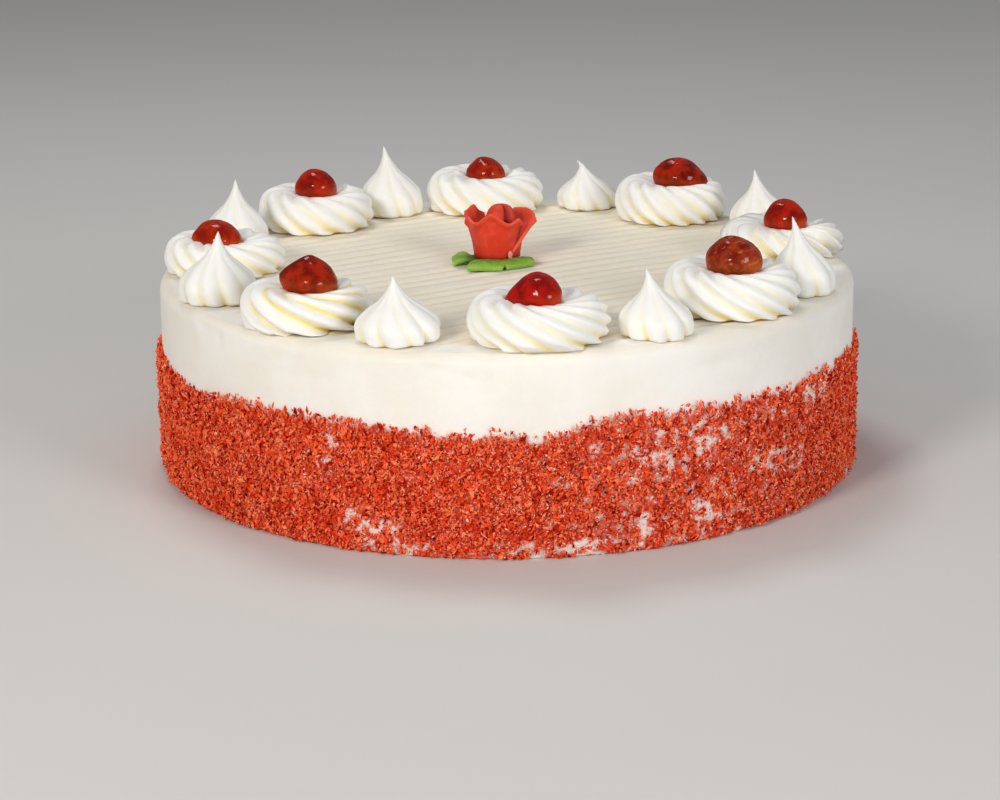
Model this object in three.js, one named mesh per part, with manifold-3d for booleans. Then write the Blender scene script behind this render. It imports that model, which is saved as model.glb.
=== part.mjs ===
// Red velvet cake: a whole frosted cake with a coat of cake crumbs round its side, a combed
// top, eight piped rosettes that each hold a glace cherry, eight piped kisses between them,
// and a sugar-paste rose on three leaves in the middle.
// Millimetres, +Z up, -Y towards the viewer. The origin is the middle of the underside.

import * as THREE from 'three';
import { mergeVertices } from 'three/addons/utils/BufferGeometryUtils.js';
import Module from 'manifold-3d';

const wasm = await Module();
wasm.setup();

const TURN = 2 * Math.PI;
const LATHE_START = -Math.PI / 2; // heading at which an upright lathe begins its turn
const WELD = 1e-4; // vertices closer than this are one
const RANDOM_STEP = 0x6d2b79f5; // step and range of the repeatable random numbers
const RANDOM_RANGE = 2 ** 32;

// ---------- driving dimensions ----------

const CLEARANCE = 0.3; // gap between pieces that touch

// Frosted cake
const CAKE_RADIUS = 125;
const CAKE_HEIGHT = 69;
const CAKE_SEGMENTS = 96;
const SHOULDER_RADIUS = 3.6; // rounding between the side and the top
const SHOULDER_STEPS = 3;

// Coat of crumbs pressed on to the side
const COAT_THICKNESS = 1.1;
const COAT_BANDS = 5;
const COAT_HEIGHT = 46; // mean height of its ragged upper edge
const COAT_EDGE_STEP = 0.9; // height over which the coat thins out to nothing
// Ripples of that edge: how many there are round the cake, how high, and where they start
const COAT_EDGE_RIPPLES = [
  { waves: 2, height: 0.6, start: 0.6 },
  { waves: 5, height: 0.5, start: 0 },
  { waves: 17, height: 0.7, start: 1 },
  { waves: 31, height: 0.8, start: 0 },
];
// The edge dips at the front, over this many degrees to each side
const COAT_DIP = { heading: -95, spread: 11, depth: 3 };
// Ripples of the coat's surface, which run up the side at a slant
const COAT_RELIEF_RIPPLES = [
  { waves: 23, height: 0.22, slant: 0.37 },
  { waves: 37, height: 0.22, slant: -0.53 },
];

// The largest crumbs, each a separate flake stuck on the coat
const FLAKE_ROWS = 5;
const FLAKES_IN_ROW = 15;
const FLAKE_SIZE = 3.4; // longest flake
const FLAKE_SIZE_SPREAD = 0.35;
const FLAKE_CORNER_LEAST = 0.8; // a flake's corners stand this fraction of its size or more
const FLAKE_CORNER_SPREAD = 0.35;
const FLAKE_THICKNESS = 0.5; // of a flake's size
const FLAKE_EDGE_MARGIN = 3; // flakes stay this far from the underside
const FLAKE_ROW_MARGIN = 0.15; // a flake stays this fraction of a row from the next row
const FLAKE_SEED = 19;

// Comb marks in the frosting on top
const COMB_PITCH = 7.8;
const COMB_WIDTH = 3.2;
const COMB_DEPTH = 0.75;
const COMB_LIP = 0.3; // the cutting shape stands this far above the frosting
const COMB_REACH = 116; // the marks stop at this radius
const COMB_ANGLE = THREE.MathUtils.degToRad(31.5);

// Piped rosettes. azimuth in degrees, ring is the distance from the cake's axis, width across
// the bulge, height of the crest, ridges per turn, twist in degrees from foot to hollow.
const ROSETTES = [
  { azimuth: 180, ring: 102, width: 44.5, height: 12, ridges: 13, twist: 95 },
  { azimuth: 134.8, ring: 104.2, width: 45, height: 14.2, ridges: 12, twist: 100 },
  { azimuth: 94.3, ring: 105.2, width: 46.8, height: 14.6, ridges: 13, twist: 95 },
  { azimuth: 52, ring: 105.5, width: 43.5, height: 15, ridges: 14, twist: 95 },
  { azimuth: 8.5, ring: 102.5, width: 46, height: 12, ridges: 14, twist: 90 },
  { azimuth: -41.5, ring: 101.5, width: 46.5, height: 15, ridges: 13, twist: 130 },
  { azimuth: -84.5, ring: 105.2, width: 47, height: 14.2, ridges: 12, twist: 150 },
  { azimuth: -129.5, ring: 105.4, width: 44.5, height: 13.2, ridges: 9, twist: 165 },
];
const ROSETTE_CLIMB = 0.8; // the coil stands this much higher on one side and lower on the other
const ROSETTE_CLIMB_HEADING = THREE.MathUtils.degToRad(165);
// Outline of a rosette as fractions of half its width and of its height, from the middle of
// the foot out over the bulge and the crest and in to the hollow.
const ROSETTE_OUTLINE = [
  [0, 0],
  [0.84, 0],
  [0.96, 0.16],
  [1, 0.4],
  [0.97, 0.66],
  [0.88, 0.89],
  [0.7, 1],
  [0.46, 0.94],
  [0, 0.78],
];
const ROSETTE_RIDGE = 0.13; // depth of the valleys between ridges as a fraction of the radius
const ROSETTE_CREST_RIDGE = 1; // depth of the valleys where they cross the crest

// Piped kisses, each a drop drawn up to a point. lean is how far, and in which direction in
// degrees, the point stands off the middle of the foot.
const KISSES = [
  { azimuth: 157.5, ring: 110, width: 24, height: 24.8, lobes: 8, lean: 0.3, towards: 20 },
  { azimuth: 115, ring: 106.5, width: 25.4, height: 27, lobes: 9, lean: 2.8, towards: 190 },
  { azimuth: 72.5, ring: 110.5, width: 24.4, height: 18.8, lobes: 9, lean: 3, towards: 180 },
  { azimuth: 30.3, ring: 113, width: 23, height: 23.4, lobes: 8, lean: 2.5, towards: 170 },
  { azimuth: -23.5, ring: 112, width: 22.5, height: 26.6, lobes: 8, lean: 4.2, towards: 175 },
  { azimuth: -64.4, ring: 112.5, width: 24.8, height: 21.8, lobes: 9, lean: 3.6, towards: 170 },
  { azimuth: -109, ring: 110, width: 28.5, height: 21.2, lobes: 10, lean: 1.5, towards: 200 },
  { azimuth: -155, ring: 110.5, width: 27.2, height: 24, lobes: 9, lean: 1, towards: 20 },
];
const KISS_OUTLINE = [
  [0, 0],
  [0.86, 0],
  [1, 0.14],
  [0.96, 0.3],
  [0.72, 0.46],
  [0.38, 0.62],
  [0.14, 0.81],
  [0, 1],
];
const KISS_LOBE = 0.15; // depth of the valleys between lobes as a fraction of the radius
const KISS_TWIST = 35; // degrees from foot to point

// Glace cherries, one in each rosette's hollow. offset moves the cherry from the rosette's
// middle along X, top is the height of its crown above the frosting, tilt its dip to the
// right in degrees, pull how far it is drawn out to the right, or to the left below 0, and
// peak how far its crown is drawn to a point.
const CHERRIES = [
  { offset: -2.2, width: 18.2, depth: 16, height: 13, top: 17.6, tilt: 6, pull: 0.1, peak: 0 },
  { offset: 0.2, width: 16, depth: 15, height: 13.5, top: 21.7, tilt: 0, pull: 0.04, peak: 0 },
  { offset: 0.6, width: 15.6, depth: 15, height: 13, top: 19.9, tilt: 4, pull: 0.08, peak: 0 },
  { offset: 4, width: 21.4, depth: 16, height: 14, top: 22.6, tilt: 12, pull: 0.12, peak: 0.05 },
  { offset: 1.5, width: 15.8, depth: 15, height: 13.5, top: 20, tilt: 0, pull: 0.05, peak: 0 },
  { offset: 0.8, width: 19.2, depth: 17, height: 15, top: 24.3, tilt: 0, pull: 0.05, peak: 0 },
  { offset: -1.5, width: 18.6, depth: 15, height: 13.5, top: 21.2, tilt: -6, pull: -0.2, peak: 0.15 },
  { offset: 1.2, width: 19.6, depth: 16, height: 14.5, top: 22.6, tilt: 8, pull: -0.06, peak: 0.3 },
];
const CHERRY_SEGMENTS = 10;
const CHERRY_RINGS = 7;
const CHERRY_DIMPLE = 0.035; // unevenness of the skin as a fraction of the radius

// Sugar-paste rose
const ROSE_X = -3.6;
const ROSE_Y = 9.5;
const LEAF_THICKNESS = 1.6;
const ROSE_FOOT = LEAF_THICKNESS + 2 * CLEARANCE; // the rose stands on its leaves
const BUD_SEGMENTS = 12;
// Bud outline from its foot up, radius and height
const BUD_OUTLINE = [
  [0, 0],
  [6.7, 0],
  [6.3, 8],
  [5.7, 14],
  [4.6, 17.2],
  [2.6, 18.7],
  [0, 19],
];
const BUD_LEAN = 1.8; // the bud leans this far to the right at its tip
const PETAL_THICKNESS = 1.1;
// Petals: from and to are headings in degrees and skew how many degrees more they are at the
// rim, foot and rim are radii and curl how late the petal flares out between them, start and
// end are the rim's heights at from and at to, bow its rise between them, and wave the size
// and waves the number of its ripples.
const PETALS = [
  {
    name: 'front', from: -190, to: -57, skew: 12, foot: 7.1, rim: 9.8, curl: 1.5,
    start: 12, end: 13.6, bow: 3.2, wave: 1.6, waves: 2.2,
  },
  {
    name: 'left', from: 112, to: 164, skew: 0, foot: 7.1, rim: 11, curl: 1.5,
    start: 16.4, end: 15.8, bow: 1.2, wave: 0, waves: 0,
  },
  {
    name: 'right', from: -41, to: 52, skew: 8, foot: 7.1, rim: 13.2, curl: 2.4,
    start: 10.5, end: 16.6, bow: 1, wave: 0.5, waves: 1,
  },
];
const PETAL_STEPS_ROUND = 10;
const PETAL_STEPS_UP = 4;
// Leaves: heading in degrees, reach of the leaf from the rose's axis, its width, and how far
// its middle arches up
const LEAVES = [
  { name: 'left', heading: 195, reach: 16.2, width: 9, arch: 1.1 },
  { name: 'front', heading: 257, reach: 19, width: 10.5, arch: 0.9 },
  { name: 'right', heading: 306, reach: 16.2, width: 14, arch: 0.9 },
];
const LEAF_START = 3.5; // distance of a leaf's stalk end from the rose's axis
const LEAF_COVERED = 8.6; // out to this distance the flower stands on the leaf
const LEAF_SPREAD = 0.4; // most half width of a leaf for each millimetre from that axis
const LEAF_END = 0.75; // width of a leaf's cut end as a fraction of its width
const LEAF_STEPS_LONG = 6;
const LEAF_STEPS_WIDE = 2;

// ---------- materials ----------

function frostingMaterial() {
  return new THREE.MeshStandardMaterial({ color: 0xe6dfcf, roughness: 0.55, metalness: 0 });
}

function pipingMaterial() {
  return new THREE.MeshStandardMaterial({ color: 0xf3ecdc, roughness: 0.5, metalness: 0 });
}

function cherryMaterial() {
  return new THREE.MeshStandardMaterial({ color: 0x8c1208, roughness: 0.12, metalness: 0 });
}

function rosePasteMaterial() {
  return new THREE.MeshStandardMaterial({ color: 0xd7412a, roughness: 0.6, metalness: 0 });
}

function leafPasteMaterial() {
  return new THREE.MeshStandardMaterial({ color: 0x6fae38, roughness: 0.6, metalness: 0 });
}

// ---------- solids ----------

// A closed geometry as a solid that can be joined and cut.
function toSolid(geometry) {
  const bare = new THREE.BufferGeometry();
  bare.setAttribute('position', geometry.getAttribute('position').clone());
  bare.setIndex(geometry.getIndex());
  const merged = mergeVertices(bare, WELD);
  const mesh = new wasm.Mesh({
    numProp: 3,
    vertProperties: new Float32Array(merged.attributes.position.array),
    triVerts: new Uint32Array(merged.index.array),
  });
  return new wasm.Manifold(mesh);
}

// A solid back as a geometry.
function toGeometry(solid) {
  const mesh = solid.getMesh();
  const geometry = new THREE.BufferGeometry();
  geometry.setAttribute('position', new THREE.BufferAttribute(mesh.vertProperties, 3));
  geometry.setIndex(new THREE.BufferAttribute(mesh.triVerts, 1));
  return geometry;
}

// Turns an outline of [radius, height] pairs round the Z axis.
function lathe(outline, segments) {
  const points = outline.map(([radius, height]) => new THREE.Vector2(radius, height));
  return new THREE.LatheGeometry(points, segments).rotateX(Math.PI / 2);
}

// Moves every vertex of a lathe. shape gets the turn round the axis from 0 to 2 pi and the
// index of the outline's point, and gives a twist, a radius and a height.
function reshapeLathe(geometry, shape) {
  const position = geometry.getAttribute('position');
  const uv = geometry.getAttribute('uv');
  const last = geometry.parameters.points.length - 1;
  for (let i = 0; i < position.count; i += 1) {
    const turn = TURN * uv.getX(i);
    const { twist, radius, height } = shape(turn, Math.round(last * uv.getY(i)));
    const heading = LATHE_START + turn + twist;
    position.setXYZ(i, radius * Math.cos(heading), radius * Math.sin(heading), height);
  }
  return geometry;
}

// Moves every vertex of a geometry by a function of its place.
function reshape(geometry, move) {
  const position = geometry.getAttribute('position');
  const point = new THREE.Vector3();
  for (let i = 0; i < position.count; i += 1) {
    point.fromBufferAttribute(position, i);
    move(point);
    position.setXYZ(i, point.x, point.y, point.z);
  }
  return geometry;
}

// A repeatable stream of numbers from 0 to 1.
function seededRandom(seed) {
  let state = seed;
  return () => {
    state = (state + RANDOM_STEP) | 0;
    let mixed = Math.imul(state ^ (state >>> 15), 1 | state);
    mixed = (mixed + Math.imul(mixed ^ (mixed >>> 7), 61 | mixed)) ^ mixed;
    return ((mixed ^ (mixed >>> 14)) >>> 0) / RANDOM_RANGE;
  };
}

// ---------- cake ----------

// Height of the coat's ragged upper edge at a heading.
function coatEdge(heading) {
  let edge = COAT_HEIGHT;
  for (const ripple of COAT_EDGE_RIPPLES) {
    edge += ripple.height * Math.sin(ripple.waves * heading + ripple.start);
  }
  const away = heading - THREE.MathUtils.degToRad(COAT_DIP.heading);
  const nearest = Math.atan2(Math.sin(away), Math.cos(away));
  const spreads = nearest / THREE.MathUtils.degToRad(COAT_DIP.spread);
  return edge - COAT_DIP.depth * Math.exp(-(spreads ** 2));
}

// How far the coat stands out of the frosting at a heading and height.
function coatRelief(heading, height) {
  let relief = COAT_THICKNESS;
  for (const ripple of COAT_RELIEF_RIPPLES) {
    relief += ripple.height * Math.sin(ripple.waves * heading + ripple.slant * height);
  }
  return relief;
}

function cakeBody() {
  const outline = [[0, 0]];
  for (let band = 0; band <= COAT_BANDS; band += 1) {
    outline.push([CAKE_RADIUS + COAT_THICKNESS, (COAT_HEIGHT * band) / COAT_BANDS]);
  }
  outline.push([CAKE_RADIUS, COAT_HEIGHT + COAT_EDGE_STEP]);
  for (let step = 0; step <= SHOULDER_STEPS; step += 1) {
    const bend = (Math.PI / 2) * (step / SHOULDER_STEPS);
    outline.push([
      CAKE_RADIUS - SHOULDER_RADIUS * (1 - Math.cos(bend)),
      CAKE_HEIGHT - SHOULDER_RADIUS * (1 - Math.sin(bend)),
    ]);
  }
  outline.push([0, CAKE_HEIGHT]);
  const coatTop = COAT_BANDS + 1;
  const body = reshapeLathe(lathe(outline, CAKE_SEGMENTS), (turn, index) => {
    const [radius, height] = outline[index];
    const point = { twist: 0, radius, height };
    const heading = turn + LATHE_START;
    if (index > coatTop && index <= coatTop + 1) {
      point.height = coatEdge(heading) + COAT_EDGE_STEP;
    } else if (index > 0 && index <= coatTop) {
      point.height = (height / COAT_HEIGHT) * coatEdge(heading);
      point.radius = CAKE_RADIUS + coatRelief(heading, point.height);
    }
    return point;
  });
  return toSolid(body);
}

// Straight V-shaped marks across the top.
function combMarks() {
  const mark = new THREE.Shape([
    new THREE.Vector2(-COMB_WIDTH / 2, COMB_LIP),
    new THREE.Vector2(0, -COMB_DEPTH),
    new THREE.Vector2(COMB_WIDTH / 2, COMB_LIP),
  ]);
  const marks = [];
  const reach = Math.floor(COMB_REACH / COMB_PITCH);
  for (let row = -reach; row <= reach; row += 1) {
    const away = row * COMB_PITCH;
    const half = Math.sqrt(COMB_REACH ** 2 - away ** 2);
    const groove = new THREE.ExtrudeGeometry(mark, { depth: 2 * half, bevelEnabled: false });
    groove.translate(away, 0, -half);
    groove.rotateX(Math.PI / 2);
    groove.rotateZ(COMB_ANGLE - Math.PI / 2);
    groove.translate(0, 0, CAKE_HEIGHT);
    marks.push(toSolid(groove));
  }
  return wasm.Manifold.union(marks);
}

// One flake of crumb: an uneven flat chip.
function flake(random) {
  const size = FLAKE_SIZE * (1 - FLAKE_SIZE_SPREAD * random());
  const facets = new THREE.IcosahedronGeometry(size / 2, 0);
  facets.deleteAttribute('normal');
  facets.deleteAttribute('uv');
  const chip = reshape(mergeVertices(facets), (point) => {
    point.multiplyScalar(FLAKE_CORNER_LEAST + FLAKE_CORNER_SPREAD * random());
    point.z *= FLAKE_THICKNESS;
  });
  chip.rotateX(TURN * random());
  chip.rotateY(TURN * random());
  chip.rotateZ(TURN * random());
  return chip;
}

// Flakes in rows round the side, each moved about inside its own cell so that they lie evenly.
function flakes() {
  const random = seededRandom(FLAKE_SEED);
  const chips = [];
  for (let row = 0; row < FLAKE_ROWS; row += 1) {
    for (let column = 0; column < FLAKES_IN_ROW; column += 1) {
      const heading = (TURN * (column + random() + 0.5 * (row % 2))) / FLAKES_IN_ROW;
      const inRow = THREE.MathUtils.lerp(FLAKE_ROW_MARGIN, 1 - FLAKE_ROW_MARGIN, random());
      const span = coatEdge(heading) - FLAKE_EDGE_MARGIN;
      const height = FLAKE_EDGE_MARGIN + (span * (row + inRow)) / FLAKE_ROWS;
      const radius = CAKE_RADIUS + COAT_THICKNESS;
      const chip = flake(random);
      chip.translate(radius * Math.cos(heading), radius * Math.sin(heading), height);
      chips.push(toSolid(chip));
    }
  }
  return wasm.Manifold.union(chips);
}

function cake() {
  const solid = cakeBody().subtract(combMarks()).add(flakes());
  const mesh = new THREE.Mesh(toGeometry(solid), frostingMaterial());
  mesh.name = 'cake';
  return mesh;
}

// ---------- toppings round the rim ----------

// Moves a piece out to its place on the frosting.
function placeOnTop(object, azimuth, ring) {
  const heading = THREE.MathUtils.degToRad(azimuth);
  object.position.set(ring * Math.cos(heading), ring * Math.sin(heading), CAKE_HEIGHT + CLEARANCE);
  return object;
}

function rosetteGeometry(spec) {
  const outline = ROSETTE_OUTLINE.map(([out, up]) => [(out * spec.width) / 2, up * spec.height]);
  const last = outline.length - 1;
  const twist = THREE.MathUtils.degToRad(spec.twist);
  return reshapeLathe(lathe(outline, 2 * spec.ridges), (turn, index) => {
    const [radius, height] = outline[index];
    const valley = 0.5 - 0.5 * Math.cos(spec.ridges * turn);
    const sunk = height === spec.height ? ROSETTE_CREST_RIDGE : 0;
    const turned = (-twist * index) / last;
    const slope = (ROSETTE_CLIMB * radius) / (spec.width / 2);
    const climb = slope * Math.cos(LATHE_START + turn + turned - ROSETTE_CLIMB_HEADING);
    return {
      twist: turned,
      radius: radius * (1 - ROSETTE_RIDGE * valley),
      height: height - sunk * valley + climb * (height / spec.height),
    };
  });
}

// An uneven ball, drawn out to one end, as wide, deep and high as its spec says. grow adds to
// its size all round.
function cherryGeometry(spec, grow) {
  const ball = new THREE.SphereGeometry(1, CHERRY_SEGMENTS, CHERRY_RINGS).rotateX(Math.PI / 2);
  reshape(ball, (point) => {
    const dimples = Math.sin(3 * point.x + 2 * point.z) + Math.sin(4 * point.y - 2 * point.x);
    point.multiplyScalar(1 + CHERRY_DIMPLE * dimples);
    const thin = 1 - spec.pull * point.x;
    const crown = 1 - spec.peak * Math.max(0, point.z);
    point.x *= crown * (spec.width / 2 + grow);
    point.y *= crown * thin * (spec.depth / 2 + grow);
    point.z *= thin * (spec.height / 2 + grow);
  });
  ball.rotateY(THREE.MathUtils.degToRad(spec.tilt));
  return ball.translate(spec.offset, 0, spec.top - spec.height / 2);
}

// A rosette with the hollow that its cherry has pressed into it.
function rosette(spec, cherrySpec, name) {
  const socket = toSolid(cherryGeometry(cherrySpec, CLEARANCE));
  const solid = toSolid(rosetteGeometry(spec)).subtract(socket);
  const mesh = new THREE.Mesh(toGeometry(solid), pipingMaterial());
  mesh.name = name;
  return mesh;
}

function cherry(spec, name) {
  const mesh = new THREE.Mesh(cherryGeometry(spec, 0), cherryMaterial());
  mesh.name = name;
  return mesh;
}

function kiss(spec, name) {
  const outline = KISS_OUTLINE.map(([out, up]) => [(out * spec.width) / 2, up * spec.height]);
  const twist = THREE.MathUtils.degToRad(KISS_TWIST);
  const shape = reshapeLathe(lathe(outline, 2 * spec.lobes), (turn, index) => {
    const [radius, height] = outline[index];
    const valley = 0.5 - 0.5 * Math.cos(spec.lobes * turn);
    return {
      twist: (-twist * height) / spec.height,
      radius: radius * (1 - KISS_LOBE * valley),
      height,
    };
  });
  const towards = THREE.MathUtils.degToRad(spec.towards);
  reshape(shape, (point) => {
    const bend = spec.lean * (point.z / spec.height) ** 2;
    point.x += bend * Math.cos(towards);
    point.y += bend * Math.sin(towards);
  });
  const mesh = new THREE.Mesh(shape, pipingMaterial());
  mesh.name = name;
  return mesh;
}

function rimToppings() {
  const group = new THREE.Group();
  ROSETTES.forEach((spec, index) => {
    const pair = new THREE.Group();
    pair.add(rosette(spec, CHERRIES[index], `rosette_${index + 1}`));
    pair.add(cherry(CHERRIES[index], `cherry_${index + 1}`));
    group.add(placeOnTop(pair, spec.azimuth, spec.ring));
  });
  KISSES.forEach((spec, index) => {
    group.add(placeOnTop(kiss(spec, `kiss_${index + 1}`), spec.azimuth, spec.ring));
  });
  return group;
}

// ---------- sugar-paste rose ----------

function roseBud() {
  const tip = BUD_OUTLINE.at(-1)[1];
  const bud = reshape(lathe(BUD_OUTLINE, BUD_SEGMENTS), (point) => {
    point.x += (BUD_LEAN * point.z) / tip;
  });
  const mesh = new THREE.Mesh(bud, rosePasteMaterial());
  mesh.name = 'rose_bud';
  return mesh;
}

// Height of a petal's rim at a place from 0 to 1 across it.
function petalRim(spec, across) {
  const level = THREE.MathUtils.lerp(spec.start, spec.end, across);
  const bow = spec.bow * Math.sin(Math.PI * across);
  return level + bow + spec.wave * Math.sin(TURN * spec.waves * across);
}

// A petal: a sheet bent round the bud, close to it at the foot and flaring out to a waved rim.
function petal(spec) {
  const sheet = new THREE.BoxGeometry(1, 1, PETAL_THICKNESS, PETAL_STEPS_ROUND, PETAL_STEPS_UP, 1);
  reshape(sheet, (point) => {
    const across = point.x + 0.5;
    const up = point.y + 0.5;
    const degrees = THREE.MathUtils.lerp(spec.from, spec.to, across) + spec.skew * up;
    const heading = THREE.MathUtils.degToRad(degrees);
    const flare = THREE.MathUtils.lerp(spec.foot, spec.rim, up ** spec.curl);
    const radius = flare + PETAL_THICKNESS / 2 + point.z;
    point.set(radius * Math.cos(heading), radius * Math.sin(heading), up * petalRim(spec, across));
  });
  const mesh = new THREE.Mesh(sheet, rosePasteMaterial());
  mesh.name = `rose_petal_${spec.name}`;
  return mesh;
}

// A leaf: a flat strip that widens from the stalk to a blunt end and arches up in the middle.
function leaf(spec) {
  const strip = new THREE.BoxGeometry(1, 1, LEAF_THICKNESS, LEAF_STEPS_LONG, LEAF_STEPS_WIDE, 1);
  reshape(strip, (point) => {
    const along = point.x + 0.5;
    const out = THREE.MathUtils.lerp(LEAF_START, spec.reach, along);
    const rounded = 1 - (1 - LEAF_END) * Math.max(0, 2 * along - 1) ** 2;
    const half = Math.min(LEAF_SPREAD * out, rounded * (spec.width / 2));
    const free = Math.max(0, (out - LEAF_COVERED) / (spec.reach - LEAF_COVERED));
    const arch = spec.arch * Math.sin(Math.PI * free);
    point.set(out, 2 * half * point.y, LEAF_THICKNESS / 2 + point.z + arch);
  });
  const mesh = new THREE.Mesh(strip, leafPasteMaterial());
  mesh.name = `rose_leaf_${spec.name}`;
  mesh.rotation.z = THREE.MathUtils.degToRad(spec.heading);
  return mesh;
}

function rose() {
  const group = new THREE.Group();
  const flower = new THREE.Group();
  flower.position.z = ROSE_FOOT;
  flower.add(roseBud(), ...PETALS.map(petal));
  const leaves = new THREE.Group();
  leaves.position.z = CLEARANCE;
  leaves.add(...LEAVES.map(leaf));
  group.add(flower, leaves);
  group.position.set(ROSE_X, ROSE_Y, CAKE_HEIGHT);
  return group;
}

const redVelvetCake = new THREE.Group();
redVelvetCake.add(cake(), rimToppings(), rose());

export default redVelvetCake;
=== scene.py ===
"""A whole red velvet cake: frosting with comb marks, cake crumb, piping, cherries and a rose.

Sizes are in millimetres and angles in degrees. The frame is the cake's own: the origin is the
middle of the underside, +Z is up and -Y points to the viewer. A piece is modelled in
millimetres and hand_over() brings it to metres.
"""

import logging
import math
from dataclasses import dataclass, field
from enum import Enum

import bmesh
import bpy
import numpy as np
from mathutils import Matrix, Vector, noise


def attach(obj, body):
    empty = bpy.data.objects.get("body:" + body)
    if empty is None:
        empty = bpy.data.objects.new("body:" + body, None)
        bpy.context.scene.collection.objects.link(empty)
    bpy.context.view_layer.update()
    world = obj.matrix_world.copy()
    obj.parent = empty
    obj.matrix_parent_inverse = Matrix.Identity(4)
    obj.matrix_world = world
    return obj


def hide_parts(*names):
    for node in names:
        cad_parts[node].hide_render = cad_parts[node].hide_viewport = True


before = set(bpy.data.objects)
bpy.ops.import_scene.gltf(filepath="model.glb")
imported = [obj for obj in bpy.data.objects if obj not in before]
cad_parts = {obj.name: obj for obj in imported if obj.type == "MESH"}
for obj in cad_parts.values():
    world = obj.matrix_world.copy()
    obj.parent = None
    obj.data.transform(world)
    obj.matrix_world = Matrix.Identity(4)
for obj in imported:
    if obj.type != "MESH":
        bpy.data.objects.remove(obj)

MM = 0.001
BODY = "root"
WELD = 1e-4
SHARP_EDGE = 1.0
CLEARANCE = 0.3

CAKE_RADIUS = 125.0
CAKE_HEIGHT = 69.0
TOP = CAKE_HEIGHT + CLEARANCE
MM_PER_DEGREE = math.radians(1) * CAKE_RADIUS

Colour = tuple[float, float, float, float]
Outline = tuple[tuple[float, float], ...]
Row = tuple[float, float, float]
Layers = tuple[bmesh.types.BMLayerItem, ...]

log = logging.getLogger("red_velvet_cake")


class Slot(Enum):
    """Names of the pieces' material slots."""

    FROSTING = "frosting"
    PIPING = "piping"
    CRUMB = "crumb"
    CHERRY = "cherry"
    ROSE = "rose_paste"
    LEAF = "leaf_paste"


# ---------------------------------------------------------------------------------- numbers


def ease(low: float, high: float, value: float) -> float:
    """Rises smoothly from 0 to 1 as a value goes from low to high.

    Args:
        low: Where the rise begins.
        high: Where it ends. It may be below low, for a fall.
        value: The place between them.

    Returns:
        A number from 0 to 1.
    """
    share = min(1.0, max(0.0, (value - low) / (high - low)))
    return share * share * (3 - 2 * share)


def bell(middle: float, spread: float, value: float) -> float:
    """A smooth bump: 1 at the middle, and near 0 past two spreads."""
    return math.exp(-(((value - middle) / spread) ** 2))


def drift(x: float, y: float, z: float, seed: float = 0.0) -> float:
    """Gentle unevenness from -1 to 1 that changes over about one unit of x, y and z."""
    return noise.noise(Vector((x + 7.3 * seed, y - 3.1 * seed, z + 1.7 * seed)))


def drift_round(turn: float, rate: float, level: float, seed: float) -> float:
    """Unevenness round the Z axis that changes about rate times in a radian of turn."""
    return drift(rate * math.cos(turn), rate * math.sin(turn), level, seed)


def turned_from(middle: float, heading: float) -> float:
    """How many degrees a heading lies past another one, from -180 to 180."""
    return (heading - middle + 180) % 360 - 180


def smooth_outline(points: Outline, steps: tuple[int, ...]) -> list[Row]:
    """Draws a soft curve through an outline.

    Args:
        points: Pairs of distance from the axis and height, the first two joined straight.
        steps: Rows in each span between two points.

    Returns:
        For each row its distance from the axis, its height and its place along the outline,
        which counts the points passed.
    """
    rows = [(*points[0], 0.0)]
    for span, count in enumerate(steps):
        before = points[max(0, span - 1)]
        start, end = points[span], points[span + 1]
        after = points[min(len(points) - 1, span + 2)]
        for step in range(1, count + 1):
            share = step / count
            out, up = (_between(*four, share) for four in zip(before, start, end, after))
            if span == 0:
                out, up = (a + (b - a) * share for a, b in zip(start, end))
            rows.append((max(0.0, out), max(0.0, up), span + share))
    return rows


def _between(before: float, start: float, end: float, after: float, share: float) -> float:
    """A Catmull-Rom curve's value between start and end.

    Args:
        before: The value one point before the span.
        start: The value where the span starts.
        end: The value where it ends.
        after: The value one point after it.
        share: How far along the span, from 0 to 1.

    Returns:
        The curve's value there.
    """
    pull = (end - before) / 2
    push = (after - end) / 2 + (end - start) / 2
    cubic = 2 * start - 2 * end + pull + push
    square = -3 * start + 3 * end - 2 * pull - push
    return start + share * (pull + share * (square + share * cubic))


# --------------------------------------------------------------------------------- finishes


@dataclass(frozen=True)
class Tint:
    """A colour as the eye sees it, each channel from 0 to 255."""

    red: float
    green: float
    blue: float

    @property
    def light(self) -> Colour:
        """The same colour in the linear light that shaders reckon in."""
        return (self._linear(self.red), self._linear(self.green), self._linear(self.blue), 1.0)

    @staticmethod
    def _linear(channel: float) -> float:
        """One channel from the screen's scale to linear light."""
        level = channel / 255
        return level / 12.92 if level <= 0.04045 else ((level + 0.055) / 1.055) ** 2.4


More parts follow.
